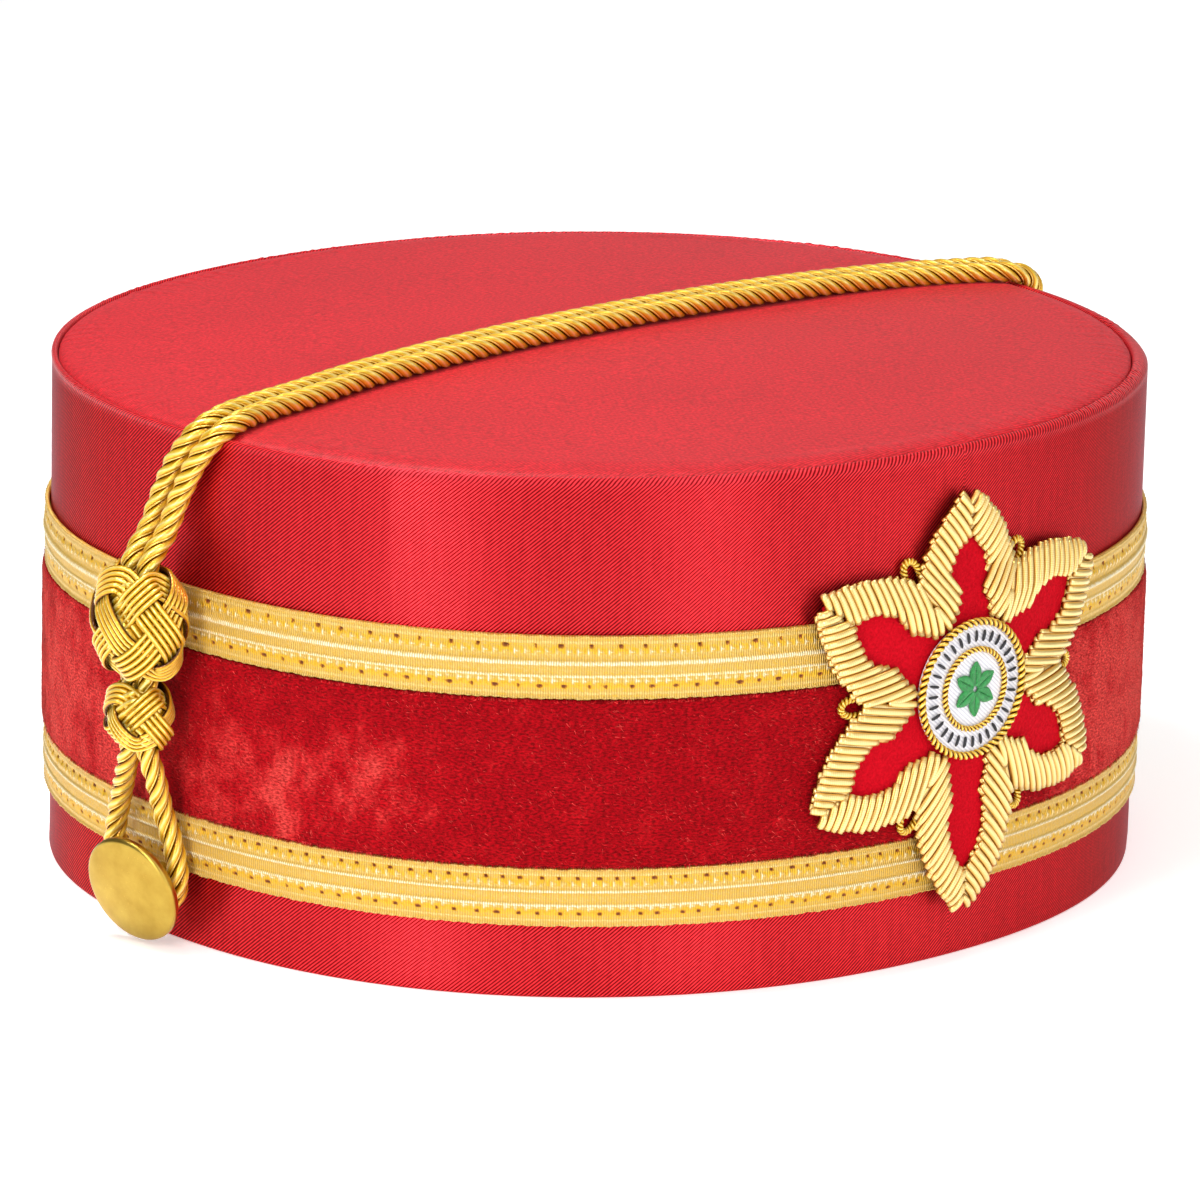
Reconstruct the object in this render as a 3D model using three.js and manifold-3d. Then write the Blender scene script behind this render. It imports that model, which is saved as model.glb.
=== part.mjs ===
// A drum-shaped ceremonial cap: a stiff satin wall with a rolled top edge, a domed satin top, a velvet band
// between two woven gilt laces, an embroidered badge in front, and a doubled gilt cord laid over the top,
// held at each side by two woven knots and a gilt button.
//
// Millimetres, +Z up. The cap stands on its open lower edge at z = 0, the badge faces -Y,
// and the cord runs over the top along X.

import * as THREE from 'three';
import { mergeVertices } from 'three/addons/utils/BufferGeometryUtils.js';
import Module from 'manifold-3d';

// Crown: an oval drum, a little wider across (X) than deep (Y)
const CROWN = { halfAcross: 100, halfDeep: 93.2, squareness: 2.12, height: 92, wall: 2.4 };
const CROWN_SET_BACK = 1.9; // the badge stands proud in front, so the drum sits this far behind the middle
const AROUND = 60; // facets round the crown
const GAP = 0.3; // clearance between neighbouring pieces
const HEM = { turn: 0.5, rise: 0.6 }; // softened lower edge of the wall
const RIM = { radius: 5.5, lipAngle: 58, steps: 3 }; // the wall rolls over to the seam of the top
const TOP = { dome: 2.2, panel: 2.0, shoulder: 6.5, shoulderRise: 0.2, edgeDrop: 0.35, edgeShare: 0.45 };
const TOP_ROWS = { face: [0.16, 0.42, 0.72, 1], back: [0.94, 0.5] }; // shares of the way out to the shoulder

// Bands on the wall, listed by height above the lower edge, with how far they stand off the satin
const LACE = { selvedge: 1.0, ridge: 1.5, slope: 4.0 };
const LACES = [
  { name: 'lace_lower', from: 13.1, to: 23.5 },
  { name: 'lace_upper', from: 53.5, to: 64.7 },
];
const VELVET = { from: 23.8, to: 53.2, edge: 0.9, pile: 1.4, soften: 1.2 };

// Doubled cord: half of the pair's route, from the middle of the top to under the left button.
// Columns: x, y and height of the pair's middle, and how far each cord lies from it along Y.
const CORD = { diameter: 4, sides: 8 };
const HALF_ROUTE = [
  { x: 0, y: 2.2, z: 96.5, spread: 2.1 },
  { x: -34, y: 1.5, z: 96.2, spread: 2.1 },
  { x: -60, y: -0.6, z: 95.6, spread: 2.1 },
  { x: -76, y: -3.2, z: 95.1, spread: 2.2 },
  { x: -88, y: -6.6, z: 94.7, spread: 2.35 },
  { x: -96.3, y: -10, z: 94.3, spread: 2.5 },
  { x: -100.8, y: -10, z: 92.4, spread: 2.5 },
  { x: -102.8, y: -7.2, z: 87.6, spread: 2.5 },
  { x: -103.4, y: -4, z: 81.4, spread: 2.4 },
  { x: -105.3, y: -2.7, z: 74.8, spread: 2.3 },
  { x: -108.9, y: -2.4, z: 69, spread: 2.2 },
  { x: -108.9, y: -2.4, z: 58, spread: 2.2 },
  { x: -108.9, y: -2.4, z: 47.5, spread: 2.2 },
  { x: -108.9, y: -2.4, z: 37, spread: 2.2 },
  { x: -107.6, y: -1.4, z: 31.5, spread: 3.9 },
  { x: -105.3, y: 1, z: 25, spread: 5.7 },
  { x: -104.3, y: 1.3, z: 17.5, spread: 8.2 },
  { x: -104.1, y: 1, z: 11.5, spread: 8.5 },
  { x: -104.1, y: 0.5, z: 7.6, spread: 5.4 },
  { x: -104.1, y: 0.2, z: 6.4, spread: 0.7 },
];

// Woven knots: barrels flattened against the wall, with an oblong hole for the pair of cords
const KNOT_HOLE = { halfWide: 5.05, halfDeep: 2.65, squareness: 3 };
const KNOT_SEAT = { x: 108.9, y: -2.4 };
const KNOT_FACETS = { around: 30, rows: 6, lobes: 5 };
const WEAVE_SLANT = 2; // turn of the criss-cross relief from a knot's middle to its ends, in radians
const KNOTS = [
  { name: 'knot_large', z: 59.2, tall: 17, halfWide: 9.9, halfDeep: 6.6, endShare: 0.63, relief: 0.45 },
  { name: 'knot_small', z: 42.4, tall: 8.6, halfWide: 6.8, halfDeep: 4.8, endShare: 0.82, relief: 0.3 },
];

// Gilt buttons: a shallow dome on a thin edge and a straight shank, leaning down and a little to the front
const BUTTON = { radius: 9.9, dome: 0.8, bevel: 0.5, edge: 1.0, back: 0.5, sides: 22 };
const BUTTON_CREST = { out: 0.55, rise: 0.7 }; // a point of the dome, as shares of its radius and height
const BUTTON_SEAT = { x: 109.2, y: -1.2, z: 10.3, leanDegrees: 15, turnDegrees: 9 };
const SHANK = { radius: 1.2, sides: 10, intoButton: 0.8 };

// Badge: a six-petalled rosette bent round the front of the wall, built up in layers from the wall out
const BADGE = { z: 49.5, waist: 23, petalPower: 0.95, around: 72 };
const PLATE_ROWS = [0.35, 0.7, 1]; // shares of the way from a plate's middle to its outline
const PETALS = [
  { degrees: 0, reach: 36 },
  { degrees: 60, reach: 39 },
  { degrees: 120, reach: 39 },
  { degrees: 180, reach: 42 },
  { degrees: 240, reach: 39 },
  { degrees: 300, reach: 39 },
];
const GROUND_LAYER = { out: 1.8, thick: 0.9, share: 0.93 };
const RAY_LAYER = { out: 3.0, thick: 1.4, inner: 13.1, middle: 0.5, shoulder: { out: 0.97, rise: 0.7 } };
const HEART = { from: 14.8, shortOfTip: 8, halfWide: 4.6, sides: 10 };
const DISC = { out: 3.0, thick: 0.8, dome: 0.3, radius: 10.8, around: 32 };
const RING_OUTER = { radius: 11.95, wire: 0.85, out: 3.9 };
const RING_INNER = { radius: 7.1, wire: 0.65, out: 5.05 };
const RING_FACETS = { around: 30, wire: 6 };
const ROSETTE = { out: 4.4, thick: 0.8, dome: 0.1, reach: 4.8, notch: 2.6, petals: 6, around: 24 };

const SATIN_RED = { color: 0xb5122a, roughness: 0.42, metalness: 0 };
const TOP_RED = { color: 0xc02034, roughness: 0.55, metalness: 0 };
const VELVET_RED = { color: 0x9c1116, roughness: 0.95, metalness: 0 };
const GILT_LACE = { color: 0xdcb45a, roughness: 0.5, metalness: 0.55 };
const GILT_CORD = { color: 0xd9a325, roughness: 0.4, metalness: 0.5 };
const GILT_METAL = { color: 0xcfa83e, roughness: 0.28, metalness: 1 };
const BULLION = { color: 0xe6c35c, roughness: 0.35, metalness: 0.8 };
const WHITE_SATIN = { color: 0xeceaf0, roughness: 0.6, metalness: 0 };
const GREEN_THREAD = { color: 0x1f8a3e, roughness: 0.6, metalness: 0 };

const cap = new THREE.Group();
cap.name = 'cap';
cap.position.y = CROWN_SET_BACK;

function addPiece(name, geometry, finish) {
  geometry.computeVertexNormals();
  const piece = new THREE.Mesh(geometry, new THREE.MeshStandardMaterial(finish));
  piece.name = name;
  cap.add(piece);
  return piece;
}

// A point of the crown's plan, turned from the front (-Y) towards +X, a distance out from the satin
function wallPoint(turn, out, z) {
  const { halfAcross, halfDeep, squareness } = CROWN;
  const side = Math.sin(turn);
  const front = -Math.cos(turn);
  const span = Math.abs(side / halfAcross) ** squareness + Math.abs(front / halfDeep) ** squareness;
  const reach = span ** (-1 / squareness);
  const x = reach * side;
  const y = reach * front;
  const slope = squareness - 1;
  const normal = new THREE.Vector2(
    Math.sign(x) * Math.abs(x) ** slope / halfAcross ** squareness,
    Math.sign(y) * Math.abs(y) ** slope / halfDeep ** squareness,
  ).normalize();
  return new THREE.Vector3(x + out * normal.x, y + out * normal.y, z);
}

// A row of points all round, from a function of the turn
function ring(count, pointAt) {
  return Array.from({ length: count }, (_, k) => pointAt((k / count) * 2 * Math.PI));
}

// A closed solid through rows of points: a loop joins the last row to the first, else both ends are capped
function solidFromRings(rings, isLoop) {
  const around = rings[0].length;
  const points = rings.flat();
  const faces = [];
  const bands = isLoop ? rings.length : rings.length - 1;
  for (let r = 0; r < bands; r += 1) {
    const low = r * around;
    const high = ((r + 1) % rings.length) * around;
    for (let k = 0; k < around; k += 1) {
      const next = (k + 1) % around;
      faces.push(low + k, low + next, high + next, low + k, high + next, high + k);
    }
  }
  if (!isLoop) {
    const lastRow = (rings.length - 1) * around;
    const middle = (row) => row.reduce((sum, p) => sum.add(p), new THREE.Vector3()).divideScalar(around);
    points.push(middle(rings[0]), middle(rings[rings.length - 1]));
    const firstMiddle = points.length - 2;
    const lastMiddle = points.length - 1;
    for (let k = 0; k < around; k += 1) {
      const next = (k + 1) % around;
      faces.push(firstMiddle, next, k, lastMiddle, lastRow + k, lastRow + next);
    }
  }
  const geometry = new THREE.BufferGeometry();
  geometry.setAttribute('position', new THREE.Float32BufferAttribute(points.flatMap((p) => p.toArray()), 3));
  geometry.setIndex(faces);
  return geometry;
}

// A band carried round the crown: a closed outline of distances out from the satin and heights
function roundTheCrown(outline) {
  return solidFromRings(outline.map(([out, z]) => ring(AROUND, (turn) => wallPoint(turn, out, z))), true);
}

// Satin wall, one outline from the hem up the outside, over the roll to the lip, and down the inside
function crownSide() {
  const rollZ = CROWN.height - RIM.radius;
  const roll = (radius, step) => {
    const angle = THREE.MathUtils.degToRad(RIM.lipAngle) * (step / RIM.steps);
    return [radius * Math.cos(angle) - RIM.radius, rollZ + radius * Math.sin(angle)];
  };
  const steps = Array.from({ length: RIM.steps + 1 }, (_, step) => step);
  const outside = steps.map((step) => roll(RIM.radius, step));
  const inside = steps.map((step) => roll(RIM.radius - CROWN.wall, step)).reverse();
  return roundTheCrown([
    [-HEM.turn, 0],
    [0, HEM.rise],
    ...outside,
    ...inside,
    [-CROWN.wall, HEM.rise],
    [HEM.turn - CROWN.wall, 0],
  ]);
}

// Satin top: a slightly domed panel set into the lip of the wall, with a rounded edge along the seam
function crownTop() {
  const lip = THREE.MathUtils.degToRad(RIM.lipAngle);
  const lipPoint = (radius) => ({
    inset: RIM.radius - radius * Math.cos(lip) + GAP * Math.sin(lip),
    z: CROWN.height - RIM.radius + radius * Math.sin(lip) + GAP * Math.cos(lip),
  });
  const seam = lipPoint(RIM.radius - TOP.edgeShare * CROWN.wall);
  const under = lipPoint(RIM.radius - CROWN.wall);
  const shoulderZ = CROWN.height + TOP.shoulderRise;
  const edgeRow = (inset, z) => ring(AROUND, (turn) => wallPoint(turn, -inset, z));
  const domeRow = (share, lower) => ring(AROUND, (turn) => {
    const rim = wallPoint(turn, -TOP.shoulder, 0);
    const z = shoulderZ + TOP.dome * (1 - share ** 2) - lower;
    return new THREE.Vector3(rim.x * share, rim.y * share, z);
  });
  const face = TOP_ROWS.face.map((share) => domeRow(share, 0));
  const edge = [
    edgeRow((seam.inset + TOP.shoulder) / 2, shoulderZ - TOP.edgeDrop),
    edgeRow(seam.inset, seam.z),
    edgeRow(under.inset, under.z),
  ];
  const back = TOP_ROWS.back.map((share) => domeRow(share, TOP.panel));
  return solidFromRings([...face, ...edge, ...back].reverse(), false);
}

function laceBand({ from, to }) {
  return roundTheCrown([
    [GAP, from],
    [LACE.selvedge, from],
    [LACE.ridge, from + LACE.slope],
    [LACE.ridge, to - LACE.slope],
    [LACE.selvedge, to],
    [GAP, to],
  ]);
}

function velvetBand() {
  return roundTheCrown([
    [GAP, VELVET.from],
    [VELVET.edge, VELVET.from],
    [VELVET.pile, VELVET.from + VELVET.soften],
    [VELVET.pile, VELVET.to - VELVET.soften],
    [VELVET.edge, VELVET.to],
    [GAP, VELVET.to],
  ]);
}

// One cord of the pair, from under the left button over the top to under the right one, a step at each point
function cordTube(sideways) {
  const left = HALF_ROUTE.map(({ x, y, z, spread }) => new THREE.Vector3(x, y + sideways * spread, z));
  const rightHalf = left.slice(1).map((p) => new THREE.Vector3(-p.x, p.y, p.z));
  const points = [...left.slice().reverse(), ...rightHalf];
  const route = new THREE.CatmullRomCurve3(points, false, 'centripetal');
  route.getUtoTmapping = (share) => share;
  const section = new THREE.Shape().absarc(0, 0, CORD.diameter / 2, 0, 2 * Math.PI);
  const tube = new THREE.ExtrudeGeometry(section, {
    curveSegments: CORD.sides / 2,
    steps: points.length - 1,
    extrudePath: route,
  });
  tube.deleteAttribute('normal');
  tube.deleteAttribute('uv');
  return mergeVertices(tube);
}

// A woven knot: a flattened barrel with criss-cross relief, open along its middle for the cords
function knotSleeve({ tall, halfWide, halfDeep, endShare, relief }) {
  const { around, rows, lobes } = KNOT_FACETS;
  const barrelRows = Array.from({ length: rows }, (_, row) => {
    const height = (row / (rows - 1)) * 2 - 1;
    const girth = endShare + (1 - endShare) * Math.sqrt(1 - height ** 2);
    return ring(around, (turn) => {
      const slant = WEAVE_SLANT * height;
      const weave = Math.cos(lobes * turn + slant) * Math.cos(lobes * turn - slant);
      const swell = relief * weave * (1 - height ** 2);
      return new THREE.Vector3(
        (halfDeep * girth + swell) * Math.cos(turn),
        (halfWide * girth + swell) * Math.sin(turn),
        (height * tall) / 2,
      );
    });
  });
  const holeRow = (z) => ring(around, (turn) => {
    const across = Math.sin(turn);
    const deep = Math.cos(turn);
    const power = KNOT_HOLE.squareness;
    const wideShare = Math.abs(across / KNOT_HOLE.halfWide) ** power;
    const deepShare = Math.abs(deep / KNOT_HOLE.halfDeep) ** power;
    const reach = (wideShare + deepShare) ** (-1 / power);
    return new THREE.Vector3(reach * deep, reach * across, z);
  });
  return solidFromRings([...barrelRows, holeRow(tall / 2), holeRow(-tall / 2)], true);
}

// Turns along the front of the wall, measured as arc length at the badge's own distance out
const ARC_STEP = THREE.MathUtils.degToRad(0.5);
const ARC_STEPS = 80;
const FRONT_ARC = [0];
for (let step = 1; step <= ARC_STEPS; step += 1) {
  const from = wallPoint((step - 1) * ARC_STEP, GROUND_LAYER.out, 0);
  const to = wallPoint(step * ARC_STEP, GROUND_LAYER.out, 0);
  FRONT_ARC.push(FRONT_ARC[step - 1] + from.distanceTo(to));
}

// A point of the badge: arc length across, height above its middle, and distance out from the satin
function onFront(across, rise, out) {
  const arc = Math.abs(across);
  const step = FRONT_ARC.findIndex((length) => length > arc) - 1;
  const share = (arc - FRONT_ARC[step]) / (FRONT_ARC[step + 1] - FRONT_ARC[step]);
  return wallPoint(Math.sign(across) * (step + share) * ARC_STEP, out, BADGE.z + rise);
}

// Flat badge pieces hold x across, y up and z out, and are bent round the wall at the end
function bendOntoFront(geometry) {
  const position = geometry.attributes.position;
  for (let k = 0; k < position.count; k += 1) {
    const bent = onFront(position.getX(k), position.getY(k), position.getZ(k));
    position.setXYZ(k, bent.x, bent.y, bent.z);
  }
  return geometry;
}

// Distance from the badge's middle to the petals' outline, at an angle clockwise from the top
function petalReach(angle) {
  const degrees = THREE.MathUtils.radToDeg(angle);
  const sector = 360 / PETALS.length;
  const petal = PETALS[Math.round(degrees / sector) % PETALS.length];
  const offAxis = Math.abs(((degrees - petal.degrees + 540) % 360) - 180) / (sector / 2);
  return BADGE.waist + (petal.reach - BADGE.waist) * (1 - offAxis) ** BADGE.petalPower;
}

function polarRow(count, reachAt, out) {
  return ring(count, (angle) => {
    const reach = reachAt(angle);
    return new THREE.Vector3(reach * Math.sin(angle), reach * Math.cos(angle), out);
  });
}

// A flat plate with the petals' outline, in rows from the middle of its back to the middle of its face
function platePlan(count, reachAt, out, thick, dome) {
  const back = PLATE_ROWS.map((share) => polarRow(count, (angle) => share * reachAt(angle), out));
  const face = PLATE_ROWS.slice().reverse().map((share) => (
    polarRow(count, (angle) => share * reachAt(angle), out + thick + dome * (1 - share ** 2))
  ));
  return solidFromRings([...back, ...face].reverse(), false);
}

function badgeGround() {
  const outline = (angle) => GROUND_LAYER.share * petalReach(angle);
  return bendOntoFront(platePlan(BADGE.around, outline, GROUND_LAYER.out, GROUND_LAYER.thick, 0));
}

const wasm = await Module();
wasm.setup();

function toManifold(geometry) {
  geometry.deleteAttribute('normal');
  geometry.deleteAttribute('uv');
  const merged = mergeVertices(geometry);
  const vertProperties = new Float32Array(merged.attributes.position.array);
  const triVerts = new Uint32Array(merged.index.array);
  return new wasm.Manifold(new wasm.Mesh({ numProp: 3, vertProperties, triVerts }));
}

function fromManifold(manifold) {
  const { vertProperties, triVerts } = manifold.getMesh();
  const geometry = new THREE.BufferGeometry();
  geometry.setAttribute('position', new THREE.BufferAttribute(new Float32Array(vertProperties), 3));
  geometry.setIndex(new THREE.BufferAttribute(new Uint32Array(triVerts), 1));
  return geometry;
}

// A button turned about its own axis, with the dome outwards, leaning on the end of a shank from the wall
function buttonOnShank(sign) {
  const { radius, dome, bevel, edge, back, sides } = BUTTON;
  const profile = [
    [0, -edge - back],
    [radius - 2 * bevel, -edge - back],
    [radius, -edge],
    [radius, 0],
    [radius - bevel, bevel],
    [radius * BUTTON_CREST.out, bevel + dome * BUTTON_CREST.rise],
    [0, bevel + dome],
  ];
  const turning = new THREE.LatheGeometry(profile.map(([r, h]) => new THREE.Vector2(r, h)), sides);
  const lean = THREE.MathUtils.degToRad(BUTTON_SEAT.leanDegrees);
  const turn = THREE.MathUtils.degToRad(BUTTON_SEAT.turnDegrees);
  const outwards = new THREE.Vector3(
    sign * Math.cos(lean) * Math.cos(turn),
    -Math.cos(lean) * Math.sin(turn),
    -Math.sin(lean),
  );
  turning.applyQuaternion(new THREE.Quaternion().setFromUnitVectors(new THREE.Vector3(0, 1, 0), outwards));
  const length = BUTTON_SEAT.x - CROWN.halfAcross - GAP - SHANK.intoButton;
  const shank = new THREE.CylinderGeometry(SHANK.radius, SHANK.radius, length, SHANK.sides);
  shank.rotateZ(Math.PI / 2);
  shank.translate(-sign * (SHANK.intoButton + length / 2), 0, 0);
  return fromManifold(toManifold(turning).add(toManifold(shank)));
}

// The opening in the middle of one petal, a pointed leaf through which the velvet ground shows
function petalHeart({ degrees, reach }) {
  const to = reach - HEART.shortOfTip;
  const tipAt = HEART.sides / 2;
  const leaf = Array.from({ length: HEART.sides }, (_, k) => {
    const share = k <= tipAt ? k / tipAt : 2 - k / tipAt;
    const side = k <= tipAt ? 1 : -1;
    const half = side * HEART.halfWide * Math.sin(Math.PI * share);
    return new THREE.Vector2(half, HEART.from + share * (to - HEART.from));
  });
  const depth = 2 * RAY_LAYER.thick;
  const heart = new THREE.ExtrudeGeometry(new THREE.Shape(leaf), { depth, bevelEnabled: false });
  heart.translate(0, 0, RAY_LAYER.out - RAY_LAYER.thick / 2);
  return heart.rotateZ(THREE.MathUtils.degToRad(-degrees));
}

// Gold border of the petals: a plate from the middle ring to the petals' outline, with a heart cut from each
function badgeRays() {
  const { out, thick, inner, middle, shoulder } = RAY_LAYER;
  const between = (share) => (angle) => inner + share * (petalReach(angle) - inner);
  const rows = [
    polarRow(BADGE.around, between(0), out),
    polarRow(BADGE.around, between(middle), out),
    polarRow(BADGE.around, between(1), out),
    polarRow(BADGE.around, between(shoulder.out), out + thick * shoulder.rise),
    polarRow(BADGE.around, between(middle), out + thick),
    polarRow(BADGE.around, between(0), out + thick),
  ];
  const plate = toManifold(solidFromRings(rows.reverse(), true));
  const rays = PETALS.reduce((left, petal) => left.subtract(toManifold(petalHeart(petal))), plate);
  return bendOntoFront(fromManifold(rays));
}

function badgeDisc() {
  return bendOntoFront(platePlan(DISC.around, () => DISC.radius, DISC.out, DISC.thick, DISC.dome));
}

function badgeRing({ radius, wire, out }) {
  const rows = Array.from({ length: RING_FACETS.wire }, (_, k) => {
    const angle = (k / RING_FACETS.wire) * 2 * Math.PI;
    return polarRow(RING_FACETS.around, () => radius + wire * Math.cos(angle), out + wire * Math.sin(angle));
  });
  return bendOntoFront(solidFromRings(rows.reverse(), true));
}

function badgeRosette() {
  const { out, thick, dome, reach, notch, petals, around } = ROSETTE;
  const outline = (angle) => notch + (reach - notch) * Math.abs(Math.cos((petals * angle) / 2));
  return bendOntoFront(platePlan(around, outline, out, thick, dome));
}

addPiece('crown_side', crownSide(), SATIN_RED);
addPiece('crown_top', crownTop(), TOP_RED);
LACES.forEach((lace) => addPiece(lace.name, laceBand(lace), GILT_LACE));
addPiece('velvet_band', velvetBand(), VELVET_RED);
addPiece('cord_front', cordTube(-1), GILT_CORD);
addPiece('cord_back', cordTube(1), GILT_CORD);
[{ name: 'left', sign: -1 }, { name: 'right', sign: 1 }].forEach((side) => {
  KNOTS.forEach((knot) => {
    const sleeve = addPiece(`${knot.name}_${side.name}`, knotSleeve(knot), GILT_CORD);
    sleeve.position.set(side.sign * KNOT_SEAT.x, KNOT_SEAT.y, knot.z);
  });
  const button = addPiece(`button_${side.name}`, buttonOnShank(side.sign), GILT_METAL);
  button.position.set(side.sign * BUTTON_SEAT.x, BUTTON_SEAT.y, BUTTON_SEAT.z);
});
addPiece('badge_ground', badgeGround(), VELVET_RED);
addPiece('badge_rays', badgeRays(), BULLION);
addPiece('badge_disc', badgeDisc(), WHITE_SATIN);
addPiece('badge_ring_outer', badgeRing(RING_OUTER), BULLION);
addPiece('badge_ring_inner', badgeRing(RING_INNER), BULLION);
addPiece('badge_rosette', badgeRosette(), GREEN_THREAD);

export default cap;
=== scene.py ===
import math

import bpy
import numpy as np
from mathutils import Matrix, Vector


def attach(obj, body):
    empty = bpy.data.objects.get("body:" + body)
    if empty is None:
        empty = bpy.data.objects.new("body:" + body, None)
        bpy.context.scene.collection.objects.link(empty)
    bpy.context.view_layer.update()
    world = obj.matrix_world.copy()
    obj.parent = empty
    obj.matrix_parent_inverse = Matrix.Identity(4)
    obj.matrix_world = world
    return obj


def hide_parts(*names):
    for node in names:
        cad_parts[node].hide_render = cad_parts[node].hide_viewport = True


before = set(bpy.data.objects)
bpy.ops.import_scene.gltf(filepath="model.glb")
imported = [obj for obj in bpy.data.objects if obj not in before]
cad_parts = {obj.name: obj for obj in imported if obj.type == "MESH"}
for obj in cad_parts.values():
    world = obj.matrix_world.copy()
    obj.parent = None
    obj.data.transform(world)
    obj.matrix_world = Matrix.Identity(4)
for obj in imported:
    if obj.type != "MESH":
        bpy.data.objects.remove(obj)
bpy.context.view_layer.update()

# Side wall: a stiff oval hoop of buckram covered in red satin, whose twill lines rise to the right.
# The satin is turned under along the lower edge, and at the top it rolls over into the seam of the
# top panel, where the stitches draw it into fine gathers.
MM = 0.001
OVAL_ACROSS = 100 * MM
OVAL_DEEP = 93.2 * MM
OVAL_SQUARENESS = 2.12
OVAL_MIDDLE = 1.9 * MM
WALL_AROUND = 1100
WALL_TOP = 92 * MM
WALL_THICK = 2.4 * MM
HEM_TURN = 0.5 * MM
HEM_RISE = 0.6 * MM
ROLL_RADIUS = 1.4 * MM
ROLL_LIP = math.radians(80)
LIP_ROWS = [(-1.42, 92.0), (-1.68, 91.9), (-1.86, 91.55), (-1.95, 90.9), (-2.1, 89.6), (-2.36, 87.5)]
SEAM_STITCHES = 233
SEAM_ASIDE = 1.1 * MM  # the top is sewn in this far to the left, so the roll is wider at the right
GATHER_DEEP = 0.17 * MM
RIPPLE_DEEP = 0.07 * MM
WALL_UNEVEN = 0.1 * MM
CREASE_TURN = math.radians(-63.1)  # where a soft upright crease stands out above the upper lace
CREASE_RISE = 0.3 * MM
CREASE_REACH = math.radians(8)
CREASE_FOOT = 64 * MM
CREASE_FULL = 72 * MM
TWILL_PITCH = 0.52 * MM
TWILL_SLOPE = math.radians(41)
WAVE_TURNS = 20 / (2 * math.pi)  # stripes per unit in a wave texture of scale 1


def turns_round(count):
    """Even steps round the cap, from the front towards +X."""
    return np.arange(count) * 2 * math.pi / count


def oval(turn, out=0.0):
    """X and Y of the cap's plan, a distance out from the satin."""
    side = np.sin(turn)
    front = -np.cos(turn)
    across = np.abs(side / OVAL_ACROSS) ** OVAL_SQUARENESS
    deep = np.abs(front / OVAL_DEEP) ** OVAL_SQUARENESS
    reach = (across + deep) ** (-1 / OVAL_SQUARENESS)
    x = reach * side * (1 + out / OVAL_ACROSS)
    y = reach * front * (1 + out / OVAL_DEEP)
    return x, y + OVAL_MIDDLE


def oval_outwards(turn):
    """The direction straight out from the satin, in plan."""
    x, y = oval(turn)
    y = y - OVAL_MIDDLE
    across = np.sign(x) * np.abs(x) ** (OVAL_SQUARENESS - 1) / OVAL_ACROSS ** OVAL_SQUARENESS
    deep = np.sign(y) * np.abs(y) ** (OVAL_SQUARENESS - 1) / OVAL_DEEP ** OVAL_SQUARENESS
    length = np.hypot(across, deep)
    return across / length, deep / length


def oval_lengths(count):
    """Length of cloth from the front round to each step, and all the way round at the end."""
    x, y = oval(np.append(turns_round(count), 2 * math.pi))
    return np.append(0, np.cumsum(np.hypot(np.diff(x), np.diff(y))))


def carry_round(name, around, rows):
    """A band carried round the oval: a ring of edges, extruded along a profile of (out, height)."""
    bpy.ops.object.select_all(action="DESELECT")
    bpy.ops.mesh.primitive_circle_add(vertices=around, radius=OVAL_ACROSS)
    band = bpy.context.active_object
    band.name = name
    out, height = rows[0]
    x, y = oval(turns_round(around), out)
    band.data.vertices.foreach_set("co", np.stack([x, y, np.full(around, height)], 1).ravel())
    bpy.ops.object.mode_set(mode="EDIT")
    bpy.ops.mesh.select_all(action="SELECT")
    for next_out, next_height in rows[1:]:
        bpy.ops.mesh.extrude_region_move(TRANSFORM_OT_translate={"value": (0, 0, next_height - height)})
        wider = (OVAL_ACROSS + next_out) / (OVAL_ACROSS + out)
        deeper = (OVAL_DEEP + next_out) / (OVAL_DEEP + out)
        bpy.ops.transform.resize(value=(wider, deeper, 1), center_override=(0, OVAL_MIDDLE, 0))
        out = next_out
        height = next_height
    bpy.ops.object.mode_set(mode="OBJECT")
    return band


def face_outwards():
    """Turns all the faces of the piece at hand outwards, and leaves edit mode."""
    bpy.ops.object.mode_set(mode="EDIT")
    bpy.ops.mesh.select_all(action="SELECT")
    bpy.ops.mesh.normals_make_consistent(inside=False)
    bpy.ops.object.mode_set(mode="OBJECT")


def close_section():
    """Joins the last row of the band at hand to its first, and turns all its faces outwards."""
    bpy.ops.object.mode_set(mode="EDIT")
    bpy.ops.mesh.select_mode(type="VERT")
    bpy.ops.mesh.select_all(action="DESELECT")
    bpy.ops.mesh.select_non_manifold()
    bpy.ops.mesh.bridge_edge_loops()
    face_outwards()
    bpy.ops.object.shade_smooth()


def points_of(piece):
    """All the points of a piece, one a line."""
    points = np.empty(3 * len(piece.data.vertices))
    piece.data.vertices.foreach_get("co", points)
    return points.reshape(-1, 3)


def place_points(piece, points):
    piece.data.vertices.foreach_set("co", points.ravel())
    piece.data.update()


def lay_cloth(band, around, rows):
    """A UV map in metres that follows the cloth: round the oval, and up along the profile."""
    mesh = band.data
    corners = np.empty(len(mesh.loops), dtype=int)
    mesh.loops.foreach_get("vertex_index", corners)
    step = (corners % around).reshape(-1, 4)
    last_face = np.ptp(step, axis=1) > 1
    step[last_face] = np.where(step[last_face] == 0, around, step[last_face])
    profile = np.array(rows)
    up = np.append(0, np.cumsum(np.hypot(*np.diff(profile, axis=0).T)))
    cloth = np.stack([oval_lengths(around)[step.ravel()], up[corners // around]], 1)
    layer = mesh.uv_layers[0] if mesh.uv_layers else mesh.uv_layers.new()
    layer.name = "cloth"
    layer.data.foreach_set("uv", cloth.ravel())


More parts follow.
